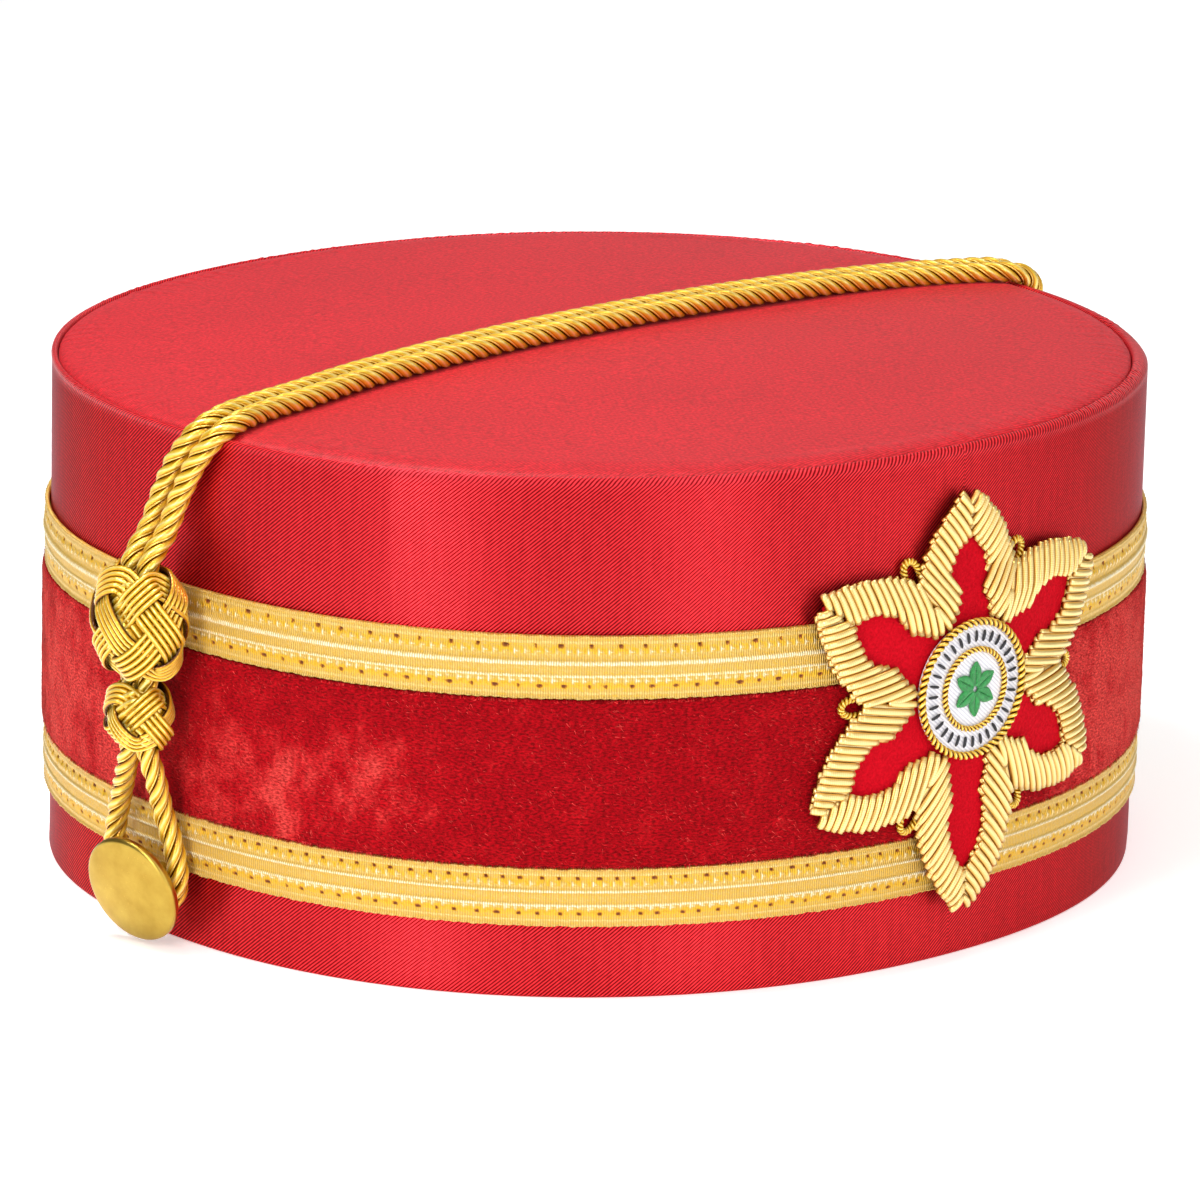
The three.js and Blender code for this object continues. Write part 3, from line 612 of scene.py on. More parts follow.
def weave_lace(name, low, high, holes_round, ridges, seed):
    """One lace round the wall. A ridge has a place above the lower edge, a half width and a rise."""
    wide = (high - low) / MM
    flat = np.linspace(0.55, wide - 0.55, LACE_FLAT_ROWS)
    places = np.concatenate([LACE_EDGE, flat, wide - np.array(LACE_EDGE[::-1])])
    from_edge = np.minimum(places, wide - places)
    raised = np.interp(from_edge, *np.array(LACE_PROFILE).T)
    shine = np.interp(from_edge, *np.array(LACE_SHINE).T)
    for place, half_wide, rise in ridges:
        ridge = np.exp(-((places - place) / half_wide) ** 4)
        raised = raised + rise * ridge
        # The ridges are painted as pale as the gilt goes: partly pale thread, partly painted highlight.
        shine = np.maximum(shine, ridge)
    rows = [(LACE_BACK + rise * MM, low + place * MM) for place, rise in zip(places, raised)]
    rows = [(LACE_BACK, low)] + rows + [(LACE_BACK, high)]
    lace = carry_round(name, LACE_AROUND, rows)
    close_section()
    lay_cloth(lace, LACE_AROUND, rows)

    turns = turns_round(LACE_AROUND)
    chance = np.random.default_rng(seed)
    upper_half = (places > wide / 2)[:, None]
    from_edge = from_edge[:, None]
    along = oval_lengths(LACE_AROUND)[-1] / MM
    hole_place = np.where(upper_half, LACE_HOLE_ROWS[1], LACE_HOLE_ROWS[0])
    holes = 0
    stitches = 0
    for in_half, count in zip((~upper_half, upper_half), holes_round):
        steps = count * turns / (2 * math.pi) + 0.12 * waves_round(turns, 20, 90, seed + count)
        off = np.abs(steps % 1 - 0.5) * along / count
        from_hole = from_edge - hole_place
        hole = np.clip(1.5 - off / LACE_HOLE[0], 0, 1) * np.exp(-(from_hole / LACE_HOLE[1]) ** 4)
        from_stitch = from_hole - LACE_STITCH_OFF
        stitch = np.clip(1.6 - off / LACE_STITCH[0], 0, 1) * np.exp(-(from_stitch / LACE_STITCH[1]) ** 4)
        holes = holes + in_half * hole
        stitches = stitches + in_half * stitch
    from_mark = from_edge - hole_place - LACE_MARK_OFF
    columns = (np.arange(LACE_AROUND)[None, :] + np.where(upper_half, 0, 2)) % len(MARK_COLUMNS)
    worn = chance.uniform(0.6, 1, (len(places), LACE_MARKS)).repeat(len(MARK_COLUMNS), axis=1)
    upright = (columns == 0) * np.exp(-(from_mark / LACE_MARK_TALL) ** 4)
    flat_stroke = MARK_COLUMNS[columns] * np.exp(-(from_mark / LACE_MARK_FLAT) ** 2)
    marks = worn * np.maximum(upright, flat_stroke)
    loop_turn = np.cos(LACE_LOOPS * turns + np.where(upper_half, 1.0, 0.0))
    loops = loop_turn * np.exp(-((from_edge - 0.2) / 0.2) ** 2)
    glints = chance.uniform(-1, 1, loops.shape)
    push = (0.06 * loops - 0.34 * holes + 0.24 * marks + 0.05 * glints) * MM
    edge_wave = LACE_LOOP_DEEP * loop_turn + LACE_EDGE_WAVE * waves_round(turns, 60, 190, seed)
    out_x, out_y = oval_outwards(turns)
    points = points_of(lace).reshape(-1, LACE_AROUND, 3)
    points[1:-1, :, 0] += push * out_x
    points[1:-1, :, 1] += push * out_y
    points[1:-1, :, 2] += np.where(upper_half, 1, -1) * np.exp(-((from_edge / 0.5) ** 2)) * edge_wave
    place_points(lace, points)
    # Painted light and shade: lighter where the edge loops stand out, darker where they turn in and in the
    # holes.
    gilt = shine[:, None] * (1 + 0.2 * glints) + 0.08 * loops + 0.9 * marks
    gilt = gilt + stitches * (0.36 - gilt) - 1.1 * holes
    gilt = np.clip(np.pad(gilt, ((1, 1), (0, 0)), "edge"), 0, 1)
    keep_values(lace, "gilt", gilt)
    lace.data.materials.append(gilt_lace)
    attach(lace, "root")
    return lace


lower_ridges = [(3.8, 0.3, 0.3), (6.3, 0.32, 0.3)]
lace_lower = weave_lace("lace_lower_weave", 13.1 * MM, 23.5 * MM, (178, 194), lower_ridges, seed=31)
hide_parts("lace_lower")
upper_ridges = [(4.1, 0.24, 0.2), (6.4, 0.52, 0.42)]
lace_upper = weave_lace("lace_upper_weave", 53.5 * MM, 64.7 * MM, (162, 130), upper_ridges, seed=32)
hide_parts("lace_upper")

# Doubled cord: two gilt cords side by side over the top, each laid from four smooth plies with a thin
# thread in every groove. Every thread is painted pale along its outer side and dark towards the grooves:
# painted highlight and shade. They go down each side through two knots, and their ends are sewn on
# under the buttons.
CORD_LAY = 13.2 * MM
CORD_PLIES = 4
PLY_OUT = 1.19 * MM
PLY_RADIUS = 0.81 * MM
GROOVE_TURN = math.radians(36)
GROOVE_OUT = 1.46 * MM
GROOVE_RADIUS = 0.21 * MM
CORD_STEP = 0.68 * MM
CORD_ASKEW = [  # x, and how far the pair lies to the back there, in millimetres
    (-97, 0), (-76, -2.6), (0, 0), (76, 2.6), (96, 3.6), (101, 3.6), (104, 0)]
CORD_HALF_ROUTE = [  # x, y and height of the pair's middle, and how far each cord lies from it along Y
    (0, 2.2, 96.5, 2.1), (-34, 1.5, 96.2, 2.1), (-60, -0.6, 95.6, 2.1), (-76, -3.2, 95.1, 2.2),
    (-88, -6.6, 94.7, 2.35), (-96.3, -10, 94.3, 2.5), (-100.8, -10, 92.4, 2.5), (-102.8, -7.2, 87.6, 2.5),
    (-103.4, -4, 81.4, 2.4), (-105.3, -2.7, 74.8, 2.3), (-108.9, -2.4, 69, 2.2), (-108.9, -2.4, 58, 2.2),
    (-108.9, -2.4, 47.5, 2.2), (-108.9, -2.4, 37, 2.2), (-107.6, -1.4, 31.5, 3.9), (-105.3, 1, 25, 5.7),
    (-104.3, 1.3, 17.5, 8.2), (-104.1, 1, 11.5, 8.5), (-104.1, 0.5, 7.6, 5.4), (-104.1, 0.2, 6.4, 0.7)]


def cord_route(sideways):
    """A cord's points from under the left button over the top to under the right one, in metres."""
    half = np.array(CORD_HALF_ROUTE)
    left = np.stack([half[:, 0], half[:, 1] + sideways * half[:, 3], half[:, 2]], 1)
    right = left[1:] * (-1, 1, 1)
    route = np.concatenate([left[::-1], right])
    route[:, 1] += np.interp(route[:, 0], *np.array(CORD_ASKEW).T)
    return route * MM + (0, OVAL_MIDDLE, 0)


def smooth_line(points, step):
    """A smooth line through all the points, as points an even step apart."""
    ends = np.concatenate([[2 * points[0] - points[1]], points, [2 * points[-1] - points[-2]]])
    knots = np.append(0, np.cumsum(np.linalg.norm(np.diff(ends, axis=0), axis=1) ** 0.5))
    dense = []
    for k in range(1, len(ends) - 2):
        a, b, c, d = knots[k - 1:k + 3]
        p, q, r, s = ends[k - 1:k + 3]
        for t in np.linspace(b, c, 40, endpoint=False):
            pq = ((b - t) * p + (t - a) * q) / (b - a)
            qr = ((c - t) * q + (t - b) * r) / (c - b)
            rs = ((d - t) * r + (t - c) * s) / (d - c)
            pqr = ((c - t) * pq + (t - a) * qr) / (c - a)
            qrs = ((d - t) * qr + (t - b) * rs) / (d - b)
            dense.append(((c - t) * pqr + (t - b) * qrs) / (c - b))
    dense = np.array(dense + [points[-1]])
    length = np.append(0, np.cumsum(np.linalg.norm(np.diff(dense, axis=0), axis=1)))
    even = np.linspace(0, length[-1], max(int(length[-1] / step), 2))
    return np.stack([np.interp(even, length, dense[:, axis]) for axis in range(3)], 1), even


def unit(vectors):
    return vectors / np.linalg.norm(vectors, axis=-1, keepdims=True)


def heading(points, closed=False):
    """The direction of a line at each of its points."""
    if closed:
        return unit(np.roll(points, -1, axis=0) - np.roll(points, 1, axis=0))
    return unit(np.gradient(points, axis=0))


def carried_side(points):
    """A direction across a line, carried along it without turning about it."""
    ahead = heading(points)
    side = np.cross(ahead[0], (0.31, 0.87, 0.38))
    sides = []
    for direction in ahead:
        side = side - direction * np.dot(side, direction)
        side = side / np.linalg.norm(side)
        sides.append(side)
    return np.array(sides)


def wind_threads(name, threads, sides=6):
    """Round threads in one mesh, each with its points, outer side and radius, and if it closes."""
    all_points, all_faces, all_cloth, all_shine_and_shade = [], [], [], []
    start = 0
    angle = turns_round(sides) + math.pi
    for points, outer, radius, closed in threads:
        ahead = heading(points, closed)
        side = unit(np.cross(ahead, outer))
        up = np.cross(side, ahead)
        around = np.cos(angle)[None, :, None] * up[:, None] + np.sin(angle)[None, :, None] * side[:, None]
        radii = np.broadcast_to(radius, len(points))[:, None, None]
        all_points.append((points[:, None] + around * radii).reshape(-1, 3))
        length = np.append(0, np.cumsum(np.linalg.norm(np.diff(points, axis=0), axis=1)))
        cloth = np.stack(np.broadcast_arrays(length[:, None], angle * np.mean(radius)), -1)
        all_cloth.append(cloth.reshape(-1, 2))
        # How far round each point faces the outer side, 1 to 0; the gilt materials paint highlight and
        # groove shade by it.
        all_shine_and_shade.append(np.tile((1 + np.cos(angle)) / 2, len(points)))
        count = len(points)
        row = np.arange(count if closed else count - 1)[:, None]
        column = np.arange(sides)[None, :]
        next_row = (row + 1) % count
        next_column = (column + 1) % sides
        quads = [row * sides + column, row * sides + next_column,
                 next_row * sides + next_column, next_row * sides + column]
        all_faces.extend((start + np.stack(quads, -1)[:, :, ::-1].reshape(-1, 4)).tolist())
        if not closed:
            first = start + np.arange(sides)
            all_faces.append(first.tolist())
            all_faces.append((first + (count - 1) * sides)[::-1].tolist())
        start += count * sides
    all_points = np.concatenate(all_points).tolist()
    piece = piece_from_arrays(name, all_points, all_faces, np.concatenate(all_cloth))
    keep_values(piece, "shine_and_groove_shade", np.concatenate(all_shine_and_shade))
    return piece


gilt_cord, cord_shader = new_finish("gilt gimp thread", Metallic=0.46, Roughness=0.2, Specular_IOR_Level=0.7)
cord_cloth = cloth_place(gilt_cord)
cord_shine_and_shade = add_node(gilt_cord, "Attribute", attribute_name="shine_and_groove_shade").outputs["Fac"]
cord_wraps = stripes(gilt_cord, cord_cloth, 0.3 * MM, math.radians(68), 0.3)
cord_worn = speckle(gilt_cord, own_place(gilt_cord), 2.4 * MM)
# Painted highlight on each thread's outer side, painted shade towards the grooves between threads.
cord_gold_and_painted_shine = colour_steps(gilt_cord, cord_shine_and_shade, [
    (0.5, dye(76, 34, 2)), (0.68, dye(186, 126, 8)), (0.83, dye(230, 176, 26)), (0.93, dye(246, 208, 74)),
    (1.0, dye(255, 238, 158))])
worn_shade = colour_steps(gilt_cord, cord_worn, [(0.35, (0.9, 0.86, 0.74, 1)), (0.65, (1.06, 1.06, 1.1, 1))])
wrap_shade = colour_steps(gilt_cord, cord_wraps, [(0.0, (0.86, 0.82, 0.74, 1)), (0.7, (1, 1, 1, 1))])
colour_shader(gilt_cord, cord_shader, cord_gold_and_painted_shine, worn_shade, wrap_shade)
raise_relief(gilt_cord, cord_shader, cord_wraps, 0.03 * MM, 0.4)


def lay_cord(name, sideways, lay_start):
    """One cord along its route, with its length: its plies and thin threads laid round its middle line."""
    middle, along = smooth_line(cord_route(sideways), CORD_STEP)
    side = carried_side(middle)
    across = np.cross(heading(middle), side)
    threads = []
    for ply in range(CORD_PLIES):
        angle = lay_start + 2 * math.pi * (along / CORD_LAY + ply / CORD_PLIES)
        for turn, out, radius in ((0, PLY_OUT, PLY_RADIUS), (GROOVE_TURN, GROOVE_OUT, GROOVE_RADIUS)):
            outwards = np.cos(angle + turn)[:, None] * side + np.sin(angle + turn)[:, None] * across
            threads.append((middle + out * outwards, outwards, radius, False))
    cord = wind_threads(name, threads, sides=8)
    cord.data.materials.append(gilt_cord)
    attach(cord, "root")
    return cord, middle, along[-1]


cord_front, front_line, front_length = lay_cord("cord_front_rope", -1, 0.4)
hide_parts("cord_front")
cord_back, back_line, back_length = lay_cord("cord_back_rope", 1, 2.1)
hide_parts("cord_back")

# Knots: two woven barrel knots on the pair of cords at each side, a large one above a small one.
# Each is one band of gilt gimp threads, five or four side by side, that goes over and under itself.
KNOT_X = 108.9 * MM
KNOT_Y = -2.4 * MM + OVAL_MIDDLE
KNOT_GIMP = 0.51 * MM
KNOT_STEPS = 64  # points of the band from one upper turn to the next
KNOTS = [
    {"name": "knot_large", "z": 59.2, "tall": 16.6, "wide": 9.1, "deep": 5.95, "ends": 0.66,
     "leads": 4, "bights": 5, "threads": 5, "pitch": 1.06, "over": 0.58},
    {"name": "knot_small", "z": 42.4, "tall": 9.4, "wide": 6.2, "deep": 4.2, "ends": 0.8,
     "leads": 3, "bights": 4, "threads": 4, "pitch": 1.0, "over": 0.54}]
KNOT_CORE = 0.8  # size of the second round of the band, which fills the eyes of the first
KNOT_CORE_GIMP = 0.75 * MM
KNOT_CORE_PITCH = 1.4


def knot_band(knot, sign, size, start, count, pitch, radius):
    """The threads of one band, which runs round the barrel as many times as it has leads."""
    leads, bights = knot["leads"], knot["bights"]
    turn = np.linspace(0, 2 * math.pi * leads, KNOT_STEPS * bights, endpoint=False)
    swing = turn * bights / leads
    over = np.tanh(2.2 * np.sin((leads - 1) * swing)) * knot["over"]
    girth = knot["ends"] + (1 - knot["ends"]) * np.sqrt(np.sin(swing) ** 2 + 0.01)
    ring_x = np.cos(turn + start) * knot["deep"] * girth * size
    ring_y = np.sin(turn + start) * knot["wide"] * girth * size
    line = np.stack([ring_x, ring_y, np.cos(swing) * (knot["tall"] / 2 - 0.6) * size], 1)
    barrel = np.stack([ring_x / knot["deep"] ** 2, ring_y / knot["wide"] ** 2,
                       1.1 * line[:, 2] / (knot["tall"] / 1.5) ** 2], 1)
    outwards = unit(barrel)
    line = line + over[:, None] * outwards
    sideways = unit(np.cross(heading(line, True), outwards))
    seat = np.array([sign * KNOT_X, KNOT_Y, knot["z"] * MM])
    threads = []
    for k in range(count):
        off = (k - (count - 1) / 2) * pitch * MM
        points = (line * (sign, 1, 1)) * MM + seat + off * sideways * (sign, 1, 1)
        threads.append((points, outwards * (sign, 1, 1), radius, True))
    return threads


def weave_knot(knot, side, sign):
    """One knot at a side of the cap, with a smaller round of the band under the outer one."""
    threads = knot_band(knot, sign, 1, 0, knot["threads"], knot["pitch"], KNOT_GIMP)
    threads += knot_band(knot, sign, KNOT_CORE, math.pi / knot["bights"], 3, KNOT_CORE_PITCH, KNOT_CORE_GIMP)
    woven = wind_threads(f"{knot['name']}_{side}_weave", threads)
    woven.data.materials.append(gilt_cord)
    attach(woven, "root")
    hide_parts(f"{knot['name']}_{side}")
    return woven


knots = [weave_knot(knot, side, sign) for knot in KNOTS for side, sign in (("left", -1), ("right", 1))]

# Buttons: a plain gilt brass button at each side, a shallow satin-polished dome with a bevelled edge.
# It is sewn through a shank to the wall and leans a little down and to the front, over the cords' ends.
BUTTON_AROUND = 96
BUTTON_RADIUS = 9.9 * MM
BUTTON_SEAT = (109.2 * MM, -1.2 * MM + OVAL_MIDDLE, 10.3 * MM)
BUTTON_LEAN = math.radians(15)
BUTTON_TURN = math.radians(9)
BUTTON_PROFILE = [  # shares of the radius, and heights in millimetres
    (0.12, -8.6), (0.12, -1.55), (0.8, -1.5), (0.93, -1.35), (0.985, -1.05), (1.0, -0.8), (1.0, -0.1),
    (0.992, 0.12), (0.975, 0.3), (0.945, 0.44), (0.9, 0.56), (0.8, 0.74), (0.65, 0.95), (0.45, 1.14),
    (0.25, 1.25), (0.1, 1.3), (0.02, 1.3)]


def turn_button(name, sign):
    """One button, turned ring by ring about an upright axis, then leaned onto its seat at one side."""
    bpy.ops.object.select_all(action="DESELECT")
    share, height = BUTTON_PROFILE[0]
    bpy.ops.mesh.primitive_circle_add(vertices=BUTTON_AROUND, radius=BUTTON_RADIUS * share, fill_type="NGON",
                                      location=(0, 0, height * MM))
    button = bpy.context.active_object
    button.name = name
    bpy.ops.object.transform_apply(location=True)
    bpy.ops.object.mode_set(mode="EDIT")
    bpy.ops.mesh.select_all(action="SELECT")
    for next_share, next_height in BUTTON_PROFILE[1:]:
        rise = (next_height - height) * MM
        bpy.ops.mesh.extrude_region_move(TRANSFORM_OT_translate={"value": (0, 0, rise)})
        wider = next_share / share
        bpy.ops.transform.resize(value=(wider, wider, 1), center_override=(0, 0, 0))
        share, height = next_share, next_height
    face_outwards()
    outwards = Vector((sign * math.cos(BUTTON_LEAN) * math.cos(BUTTON_TURN),
                       -math.cos(BUTTON_LEAN) * math.sin(BUTTON_TURN), -math.sin(BUTTON_LEAN)))
    button.rotation_euler = outwards.to_track_quat("Z", "Y").to_euler()
    button.location = (sign * BUTTON_SEAT[0], BUTTON_SEAT[1], BUTTON_SEAT[2])
    bpy.ops.object.transform_apply(location=True, rotation=True, scale=True)
    bpy.ops.object.shade_smooth_by_angle(angle=math.radians(40))
    button.data.materials.append(gilt_brass)
    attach(button, "root")
    return button


def speckled_colour(finish, shader, size, dark, light, detail=2.0):
    """Gives the shader two colours in soft spots of a size, and returns the spots."""
    spots = speckle(finish, own_place(finish), size, detail=detail)
    colour_shader(finish, shader, colour_steps(finish, spots, [(0.3, dark), (0.7, light)]))
    return spots


gilt_brass, brass_shader = new_finish("satin gilt brass", Metallic=1.0, Roughness=0.28)
speckled_colour(gilt_brass, brass_shader, 5 * MM, dye(172, 140, 56), dye(194, 164, 74), detail=4.0)
brass_polish = speckle(gilt_brass, own_place(gilt_brass), 0.35 * MM, detail=2.0)
brass_rough = add_node(gilt_brass, "MapRange", {"To Min": 0.24, "To Max": 0.36})
wire(gilt_brass, brass_polish, brass_rough.inputs["Value"])
wire(gilt_brass, brass_rough.outputs["Result"], brass_shader.inputs["Roughness"])
button_left = turn_button("button_left_dome", -1)
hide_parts("button_left")
button_right = turn_button("button_right_dome", 1)
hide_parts("button_right")

# Badge ground: a six-petalled shape of short-pile red velvet on a stiff backing, bent round the front
# of the wall over the laces and the velvet band. It shows in the pointed heart of each petal.
BADGE_MIDDLE = 49.5 * MM
BADGE_AROUND = 288
PETAL_WAIST = 23 * MM
PETAL_POWER = 0.95
PETAL_REACHES = [36 * MM, 39 * MM, 39 * MM, 42 * MM, 39 * MM, 39 * MM]  # clockwise from the top
GROUND_OUT = 1.8 * MM
GROUND_SHARE = 0.93
GROUND_ROWS = [  # shares of the reach, and heights in millimetres
    (1.0, 0.0), (1.0, 0.7), (0.985, 0.9), (0.8, 0.95), (0.6, 0.95), (0.4, 0.95), (0.2, 0.95), (0.05, 0.95)]
SETTLED = [  # heights, and how far the badge sinks there to the satin past the laces, in millimetres
    (7.5, 1.3), (12.5, 0), (65.5, 0), (70.5, 1.4)]
FRONT_REACH = 0.8  # turn to either side that the badge may take up
FRONT_STEPS = 320


def on_front(across, rise, out):
    """Points of the badge, from lengths across the front and above its middle, and out from the satin."""
    steps = np.linspace(-FRONT_REACH, FRONT_REACH, 2 * FRONT_STEPS + 1)
    x, y = oval(steps)
    away_x, away_y = oval_outwards(steps)
    cloth_x, cloth_y = x + GROUND_OUT * away_x, y + GROUND_OUT * away_y
    length = np.append(0, np.cumsum(np.hypot(np.diff(cloth_x), np.diff(cloth_y))))
    turn = np.interp(across, length - length[FRONT_STEPS], steps)
    heights, sunk = np.array(SETTLED).T * MM
    out = out - np.interp(BADGE_MIDDLE + rise, heights, sunk)
    x, y = oval(turn)
    away_x, away_y = oval_outwards(turn)
    return np.stack([x + out * away_x, y + out * away_y, BADGE_MIDDLE + rise], -1)


def petal_reach(angle):
    """Distance from the badge's middle to the petals' outline, at an angle clockwise from the top."""
    place = np.asarray(angle) / (math.pi / 3)
    petal = np.round(place).astype(int)
    off = np.abs(place - petal) * 2
    return PETAL_WAIST + (np.array(PETAL_REACHES)[petal % 6] - PETAL_WAIST) * (1 - off) ** PETAL_POWER


def bent_plate(name, around, reach, rows, out):
    """A plate of the badge: an outline drawn in by rows, then bent round the front of the wall."""
    bpy.ops.object.select_all(action="DESELECT")
    bpy.ops.mesh.primitive_circle_add(vertices=around, radius=PETAL_WAIST)
    plate = bpy.context.active_object
    plate.name = name
    angles = turns_round(around)
    place_points(plate, np.stack([reach * np.sin(angles), reach * np.cos(angles), 0 * angles], 1))
    bpy.ops.object.mode_set(mode="EDIT")
    bpy.ops.mesh.select_all(action="SELECT")
    draw_in([(share, height * MM) for share, height in rows])
    flat = points_of(plate)
    place_points(plate, on_front(flat[:, 0], flat[:, 1], out + flat[:, 2]))
    face_outwards()
    bpy.ops.object.shade_smooth()
    return plate


ground_reach = GROUND_SHARE * petal_reach(turns_round(BADGE_AROUND))
badge_ground = bent_plate("badge_velvet", BADGE_AROUND, ground_reach, GROUND_ROWS, GROUND_OUT)
badge_pile, pile_shader = new_finish("bright red short pile", Roughness=0.9, Specular_IOR_Level=0.1,
                                     Sheen_Weight=0.08, Sheen_Roughness=0.4, Sheen_Tint=dye(255, 90, 90))
pile_spots = speckled_colour(badge_pile, pile_shader, 0.5 * MM, dye(172, 0, 18), dye(206, 4, 28), detail=3.0)
raise_relief(badge_pile, pile_shader, pile_spots, 0.25 * MM, 0.6)
badge_ground.data.materials.append(badge_pile)
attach(badge_ground, "root")
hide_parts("badge_ground")

# Bullion border: short tubes of coiled gold wire, each sewn down by hand over padding, side by side.
# They slant away from the heart of each petal to its outline, so two rows meet in chevrons at its tip.
PURL_RADIUS = 0.69 * MM
PURL_PITCH = 1.4 * MM
PURL_SLANT = math.radians(40)
PURL_LOW = 3.0 * MM
PURL_ARCH = 0.75 * MM
PURL_LONGEST = 10.5 * MM
PURL_SHORTEST = 2.2 * MM
PURL_POINTS = 9
HEART_FROM = 14.8 * MM
HEART_SHORT_OF_TIP = 8.6 * MM
HEART_HALF_WIDE = 4.6 * MM
BORDER_INNER = 13.0 * MM
RUN_STEP = 0.1 * MM
PADDING_LOW = 2.55 * MM
PADDING_ARCH = 0.3 * MM


def in_border(side, up, reach):
    """If points of one petal, to one side of its middle and up along it, are on its gold border."""
    distance = np.hypot(side, up)
    angle = np.arctan2(side, up)
    off = np.clip(np.abs(angle) / (math.pi / 6), 0, 1)
    outline = PETAL_WAIST + (reach - PETAL_WAIST) * (1 - off) ** PETAL_POWER
    share = np.clip((up - HEART_FROM) / (reach - HEART_SHORT_OF_TIP - HEART_FROM), 0, 1)
    heart = HEART_HALF_WIDE * np.sin(math.pi * share) ** 0.85
    inside = (distance < outline) & (angle < math.pi / 6) & (distance > BORDER_INNER)
    return inside & (side > np.maximum(heart, 0.25 * MM))


def border_runs(reach, slant, pitch, start):
    """The ends of the tubes on one half of a petal: slanted lines, kept where they are on the border."""
    ahead = np.array([math.sin(slant), math.cos(slant)])
    across = np.array([math.cos(slant), -math.sin(slant)])
    travel = np.arange(-10 * MM, 60 * MM, RUN_STEP)
    runs = []
    for offset in np.arange(-34 * MM + start, 20 * MM, pitch):
        line = offset * across + travel[:, None] * ahead
        kept = in_border(line[:, 0], line[:, 1], reach)
        if not kept.any():
            continue
        first = int(np.argmax(kept))
        stop = first + int(np.argmin(np.append(kept[first:], False)))
        long = min((stop - first) * RUN_STEP, PURL_LONGEST)
        if long > PURL_SHORTEST:
            runs.append((line[stop - 1] - long * ahead, line[stop - 1]))
    return runs


def sewn_tubes(radius, pitch, start, low, arch, chance):
    """All the tubes of the border at one level, arched over the padding and bent round the front."""
    tubes = []
    share = np.linspace(0, 1, PURL_POINTS)
    for petal, reach in enumerate(PETAL_REACHES):
        turn = petal * math.pi / 3
        for side in (-1, 1):
            for inner, outer in border_runs(reach, PURL_SLANT, pitch, start):
                ahead = (outer - inner) / np.linalg.norm(outer - inner)
                inner = inner - ahead * chance.uniform(-0.2, 0.35) * MM
                outer = outer + ahead * chance.uniform(-0.3, 0.35) * MM
                flat = inner + share[:, None] * (outer - inner)
                flat = flat + chance.normal(0, 0.05 * MM, 2)
                sideways = side * flat[:, 0]
                across = sideways * math.cos(turn) + flat[:, 1] * math.sin(turn)
                rise = flat[:, 1] * math.cos(turn) - sideways * math.sin(turn)
                lift = chance.uniform(0.85, 1.1) * arch * np.sin(math.pi * (0.06 + 0.88 * share)) ** 0.6
                line = on_front(across, rise, low + lift)
                away = unit(line - on_front(across, rise, 0 * share))
                taper = radius * np.clip(np.minimum(share, 1 - share) * 2 + 0.9, 0, 1)
                tubes.append((line, away, taper, False))
    return tubes


purl_chance = np.random.default_rng(41)
upper_tubes = sewn_tubes(PURL_RADIUS, PURL_PITCH, 0, PURL_LOW, PURL_ARCH, purl_chance)
lower_tubes = sewn_tubes(PURL_RADIUS, PURL_PITCH, PURL_PITCH / 2, PADDING_LOW, PADDING_ARCH, purl_chance)
bullion_border = wind_threads("bullion_border", upper_tubes, sides=9)
bullion_padding = wind_threads("bullion_padding", lower_tubes, sides=6)
bullion, bullion_shader = new_finish("coiled gold wire", Metallic=0.5, Roughness=0.2, Specular_IOR_Level=0.8)
bullion_cloth = cloth_place(bullion)
bullion_shine_and_shade = add_node(bullion, "Attribute", attribute_name="shine_and_groove_shade").outputs["Fac"]
# Painted highlight along each tube's outer side, painted shade in the gaps between the tubes.
bullion_gold_and_painted_shine = colour_steps(bullion, bullion_shine_and_shade, [
    (0.4, dye(132, 72, 18)), (0.58, dye(208, 148, 58)), (0.78, dye(236, 196, 104)),
    (1.0, dye(252, 228, 158))])
coils = stripes(bullion, bullion_cloth, 0.38 * MM, math.radians(6), 0.2)
coil_shade = colour_steps(bullion, coils, [(0.0, (0.9, 0.84, 0.7, 1)), (0.6, (1, 1, 1, 1))])
colour_shader(bullion, bullion_shader, bullion_gold_and_painted_shine, coil_shade)
raise_relief(bullion, bullion_shader, coils, 0.06 * MM, 0.16)
for tubes in (bullion_border, bullion_padding):
    tubes.data.materials.append(bullion)
    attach(tubes, "root")
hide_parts("badge_rays")

# Badge middle: a disc of white twill satin, edged and divided by two rings of twisted gold cord.
# Between the rings is a round of plain black bars in satin stitch, and in the middle a green rosette
# of six satin-stitched leaves.
DISC_AROUND = 96
DISC_RADIUS = 12.0 * MM
DISC_OUT = 3.0 * MM
DISC_ROWS = [(1.0, 0.0), (1.0, 0.6), (0.97, 0.85), (0.85, 0.95), (0.6, 1.02), (0.3, 1.08), (0.05, 1.1)]
RINGS = [{"node": "badge_ring_outer", "radius": 11.95, "out": 4.15, "ply": 0.37, "lays": 30},
         {"node": "badge_ring_inner", "radius": 7.1, "out": 4.5, "ply": 0.27, "lays": 24}]
RING_STEPS = 420
LOOP_STEPS = 120
LOOP_MIDDLE = 24.2 * MM
LOOP_HALF_LONG = 3.4 * MM
LOOP_HALF_WIDE = 1.9 * MM
LOOP_OUT = 2.3 * MM
LOOP_PLY = 0.34 * MM
LOOP_LAYS = 11
BAR_COUNT = 32
BAR_FROM = 8.5 * MM
BAR_TO = 10.5 * MM
BAR_OUT = 4.1 * MM
BAR_RADIUS = 0.27 * MM
LEAF_COUNT = 6
LEAF_STITCHES = 13
LEAF_FROM = 0.6 * MM
LEAF_TO = 4.9 * MM
LEAF_HALF_WIDE = 1.35 * MM
LEAF_OUT = 4.25 * MM
LEAF_THREAD = 0.24 * MM
disc = bent_plate("badge_disc_satin", DISC_AROUND, DISC_RADIUS, DISC_ROWS, DISC_OUT)
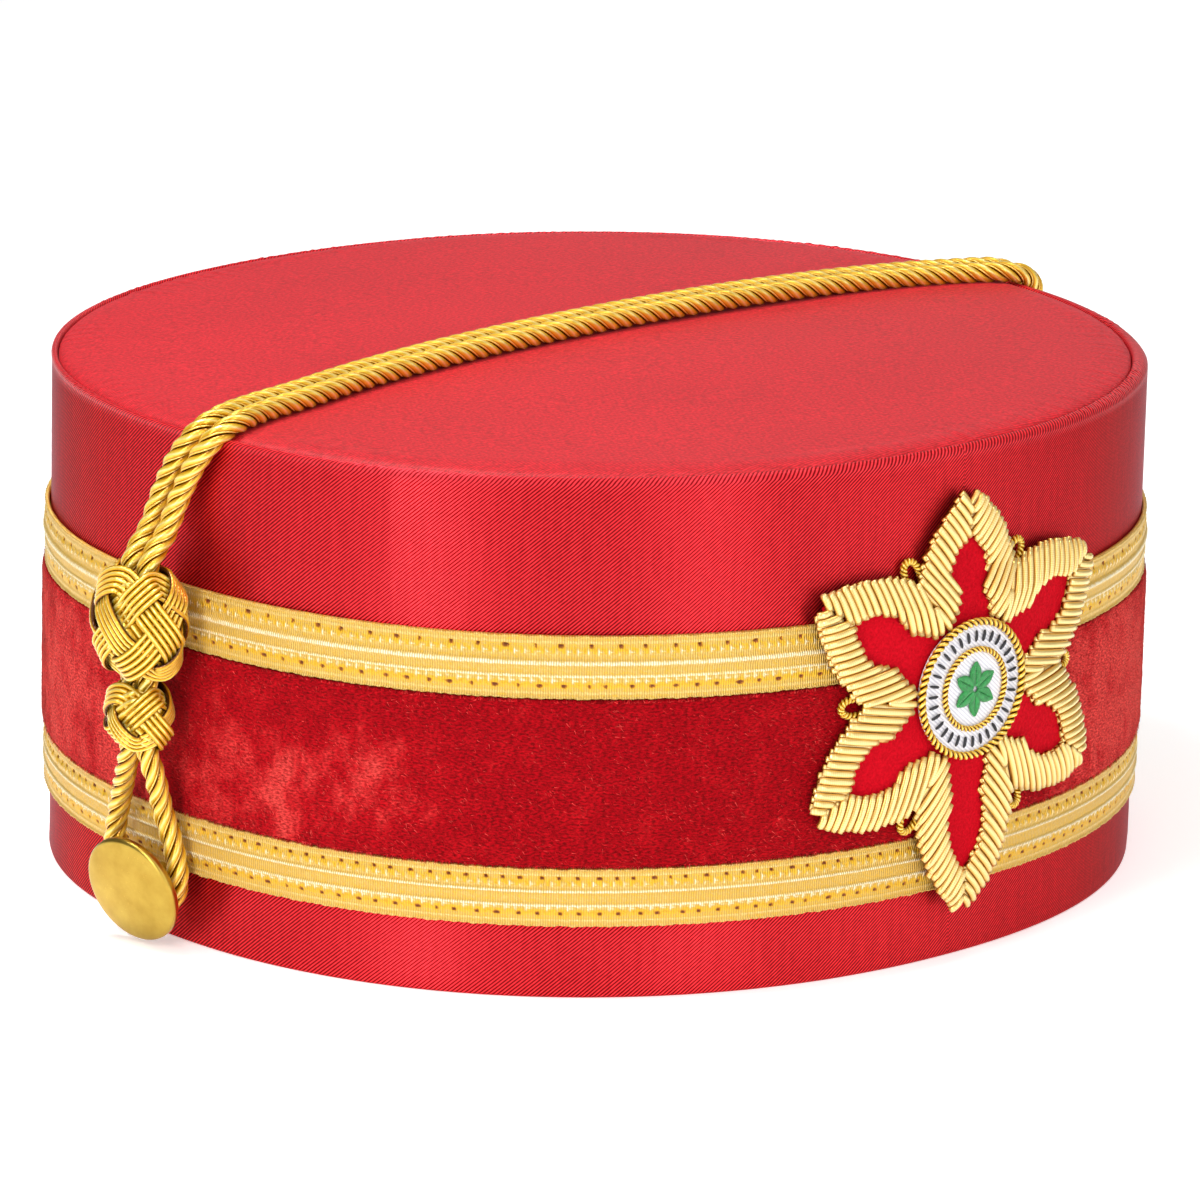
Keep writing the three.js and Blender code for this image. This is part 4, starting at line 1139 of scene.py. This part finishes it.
white_satin, white_shader = new_finish("white twill satin", Roughness=0.55, Sheen_Weight=0.2,
                                       Sheen_Roughness=0.4)
white_turned = add_node(white_satin, "Mapping", {"Rotation": (math.pi / 2, 0, 0)})
wire(white_satin, own_place(white_satin), white_turned.inputs["Vector"])
white_twill = stripes(white_satin, white_turned.outputs["Vector"], 0.6 * MM, math.radians(50), 0.3)
white_shade = colour_steps(white_satin, white_twill, [(0.1, dye(214, 212, 222)), (0.7, dye(246, 244, 248))])
colour_shader(white_satin, white_shader, white_shade)
raise_relief(white_satin, white_shader, white_twill, 0.1 * MM, 0.5)
disc.data.materials.append(white_satin)
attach(disc, "root")
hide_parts("badge_disc")


def twisted_ring(ring):
    """A ring of twisted cord, laid flat on the disc: two plies that wind round its middle line."""
    turn = np.linspace(0, 2 * math.pi, RING_STEPS, endpoint=False)
    strands = []
    for ply in (0, 1):
        twist = ring["lays"] * turn + ply * math.pi
        reach = (ring["radius"] + ring["ply"] * np.cos(twist)) * MM
        out = (ring["out"] + ring["ply"] * np.sin(twist)) * MM
        line = on_front(reach * np.sin(turn), reach * np.cos(turn), out)
        middle = on_front(ring["radius"] * MM * np.sin(turn), ring["radius"] * MM * np.cos(turn),
                          np.full(RING_STEPS, ring["out"] * MM))
        strands.append((line, unit(line - middle), ring["ply"] * 1.04 * MM, True))
    made = wind_threads(f"{ring['node']}_cord", strands, sides=8)
    made.data.materials.append(gilt_cord)
    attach(made, "root")
    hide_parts(ring["node"])


for ring in RINGS:
    twisted_ring(ring)


def twisted_loop(angle):
    """A small loop of twisted cord between two petals, as two plies round its middle line."""
    turn = np.linspace(0, 2 * math.pi, LOOP_STEPS, endpoint=False)
    way = np.array([math.sin(angle), math.cos(angle)])
    aside = np.array([way[1], -way[0]])
    narrow = LOOP_HALF_WIDE * np.sin(turn) * (0.55 + 0.45 * np.cos(turn / 2 - math.pi / 2) ** 2)
    reach = LOOP_MIDDLE - LOOP_HALF_LONG * np.cos(turn)
    flat = reach[:, None] * way + narrow[:, None] * aside
    middle = on_front(flat[:, 0], flat[:, 1], np.full(LOOP_STEPS, LOOP_OUT))
    away = unit(middle - on_front(flat[:, 0], flat[:, 1], np.zeros(LOOP_STEPS)))
    across = np.cross(heading(middle, True), away)
    strands = []
    for ply in (0, 1):
        twist = LOOP_LAYS * turn + ply * math.pi
        outer = np.cos(twist)[:, None] * across + np.sin(twist)[:, None] * away
        strands.append((middle + LOOP_PLY * outer, outer, 1.05 * LOOP_PLY, True))
    return strands


loop_strands = []
for petal in range(len(PETAL_REACHES)):
    loop_strands += twisted_loop((petal + 0.5) * math.pi / 3)
loops = wind_threads("badge_loops", loop_strands)
loops.data.materials.append(gilt_cord)
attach(loops, "root")


def flat_stitch(start, end, out, radius):
    """One straight stitch on the disc, from point to point (across, rise), a little arched."""
    share = np.linspace(0, 1, 6)
    flat = np.array(start) + share[:, None] * (np.array(end) - np.array(start))
    lift = radius * np.sin(math.pi * (0.08 + 0.84 * share)) ** 0.5
    line = on_front(flat[:, 0], flat[:, 1], out + lift)
    away = unit(line - on_front(flat[:, 0], flat[:, 1], 0 * share))
    return line, away, radius * np.clip(np.minimum(share, 1 - share) * 5 + 0.5, 0, 1), False


bar_stitches = []
for angle in turns_round(BAR_COUNT):
    way = np.array([math.sin(angle), math.cos(angle)])
    bar_stitches.append(flat_stitch(BAR_FROM * way, BAR_TO * way, BAR_OUT, BAR_RADIUS))
bars = wind_threads("badge_black_bars", bar_stitches)
black_thread, black_shader = new_finish("black satin stitch", Roughness=0.5)
speckled_colour(black_thread, black_shader, 0.6 * MM, dye(14, 14, 18), dye(44, 44, 50))
bars.data.materials.append(black_thread)
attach(bars, "root")

leaf_stitches = []
for angle in turns_round(LEAF_COUNT):
    way = np.array([math.sin(angle), math.cos(angle)])
    aside = np.array([way[1], -way[0]])
    for share in (np.arange(LEAF_STITCHES) + 0.5) / LEAF_STITCHES:
        reach = LEAF_FROM + share * (LEAF_TO - LEAF_FROM)
        half = LEAF_HALF_WIDE * math.sin(math.pi * share**0.75) ** 0.8
        slant = 0.35 * half
        for side in (-1, 1):
            inner = (reach - slant) * way
            outer = reach * way + side * half * aside
            leaf_stitches.append(flat_stitch(inner, outer + slant * way, LEAF_OUT, LEAF_THREAD))
rosette = wind_threads("badge_green_rosette", leaf_stitches, sides=5)
green_thread, green_shader = new_finish("green satin stitch", Roughness=0.45, Sheen_Weight=0.2)
speckled_colour(green_thread, green_shader, 0.7 * MM, dye(14, 110, 46), dye(40, 160, 74))
rosette.data.materials.append(green_thread)
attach(rosette, "root")
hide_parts("badge_rosette")

# Floor and studio light: a plain white sweep that glows a little. Two upright soft boxes left and right
# of the camera give the satin its two bands of shine. A fill, two small boxes above, a weak one behind
# and a wide white ceiling light the rest.
bpy.ops.object.select_all(action="DESELECT")
bpy.ops.mesh.primitive_plane_add(size=12)
floor = bpy.context.active_object
floor.name = "floor"
paper, paper_shader = new_finish("back-lit white sweep", Roughness=0.9, Emission_Color=(1, 1, 1, 1),
                                 Emission_Strength=0.36)
paper_grain = speckle(paper, own_place(paper), 4 * MM)
paper_white = colour_steps(paper, paper_grain, [(0.0, (0.93, 0.93, 0.93, 1)), (1.0, (0.96, 0.96, 0.96, 1))])
colour_shader(paper, paper_shader, paper_white)
floor.data.materials.append(paper)


def seen_from(azimuth, elevation):
    """The direction from the cap to a light or a camera, from its angles round from the front and up."""
    level = math.cos(elevation)
    return Vector((math.sin(azimuth) * level, -math.cos(azimuth) * level, math.sin(elevation)))


def soft_box(name, azimuth, elevation, distance, wide, tall, power):
    """A soft box that faces the middle of the cap, from a distance in metres, with its power in watts."""
    light = bpy.data.lights.new(name, "AREA")
    light.shape = "RECTANGLE"
    light.size = wide
    light.size_y = tall
    light.energy = power
    box = bpy.data.objects.new(name, light)
    bpy.context.collection.objects.link(box)
    back = seen_from(math.radians(azimuth), math.radians(elevation))
    box.location = Vector((0, 0, 50 * MM)) + back * distance
    box.rotation_euler = back.to_track_quat("Z", "Y").to_euler()


soft_box("soft_box_left", -73, 20, 1.2, 0.19, 1.0, 6.6)
soft_box("soft_box_right", -12, 18, 1.5, 0.25, 1.1, 5.7)
soft_box("soft_box_above_left", -115, 70, 0.48, 0.2, 0.2, 1.8)
soft_box("soft_box_above_right", 60, 70, 0.9, 0.2, 0.2, 1.2)
soft_box("soft_box_back", 120, 20, 1.3, 1.0, 0.5, 0.7)
soft_box("soft_box_fill", 30, 18, 1.5, 0.8, 0.8, 2.5)
sky_light = bpy.data.lights.new("ceiling", "SUN")
sky_light.energy = 1.0
sky_light.angle = math.radians(75)
ceiling = bpy.data.objects.new("ceiling", sky_light)
ceiling.rotation_euler = (math.radians(14), math.radians(-18), 0)
bpy.context.collection.objects.link(ceiling)
world = bpy.data.worlds.new("studio")
world.use_nodes = True
world.node_tree.nodes["Background"].inputs["Color"].default_value = (1, 1, 1, 1)
world.node_tree.nodes["Background"].inputs["Strength"].default_value = 0.18
bpy.context.scene.world = world
bpy.context.scene.view_settings.view_transform = "Standard"

# Camera: a long lens from the front left, a little above the cap, as in the photograph.
CAMERA_AZIMUTH = math.radians(-42.58)
CAMERA_ELEVATION = math.radians(15.21)
CAMERA_ROLL = math.radians(1.39)
CAMERA_DISTANCE = 1.4073
CAMERA_TARGET = Vector((0, OVAL_MIDDLE, 42.22 * MM))
FRAME_PIXELS = 1200
FOCAL_PIXELS = 7713
FRAME_MIDDLE = (595.6, 611.35)
SENSOR_WIDE = 36
camera_data = bpy.data.cameras.new("camera")
camera = bpy.data.objects.new("camera", camera_data)
bpy.context.collection.objects.link(camera)
back = seen_from(CAMERA_AZIMUTH, CAMERA_ELEVATION)
level = Vector((math.cos(CAMERA_AZIMUTH), math.sin(CAMERA_AZIMUTH), 0))
upright = back.cross(level)
right = math.cos(CAMERA_ROLL) * level + math.sin(CAMERA_ROLL) * upright
up = math.cos(CAMERA_ROLL) * upright - math.sin(CAMERA_ROLL) * level
camera_turn = Matrix((right, up, back)).transposed().to_4x4()
camera.matrix_world = Matrix.Translation(CAMERA_TARGET + back * CAMERA_DISTANCE) @ camera_turn
camera_data.sensor_width = SENSOR_WIDE
camera_data.lens = FOCAL_PIXELS / FRAME_PIXELS * SENSOR_WIDE
camera_data.shift_x = (FRAME_PIXELS / 2 - FRAME_MIDDLE[0]) / FRAME_PIXELS
camera_data.shift_y = (FRAME_MIDDLE[1] - FRAME_PIXELS / 2) / FRAME_PIXELS
camera_data.clip_end = 20
bpy.context.scene.camera = camera
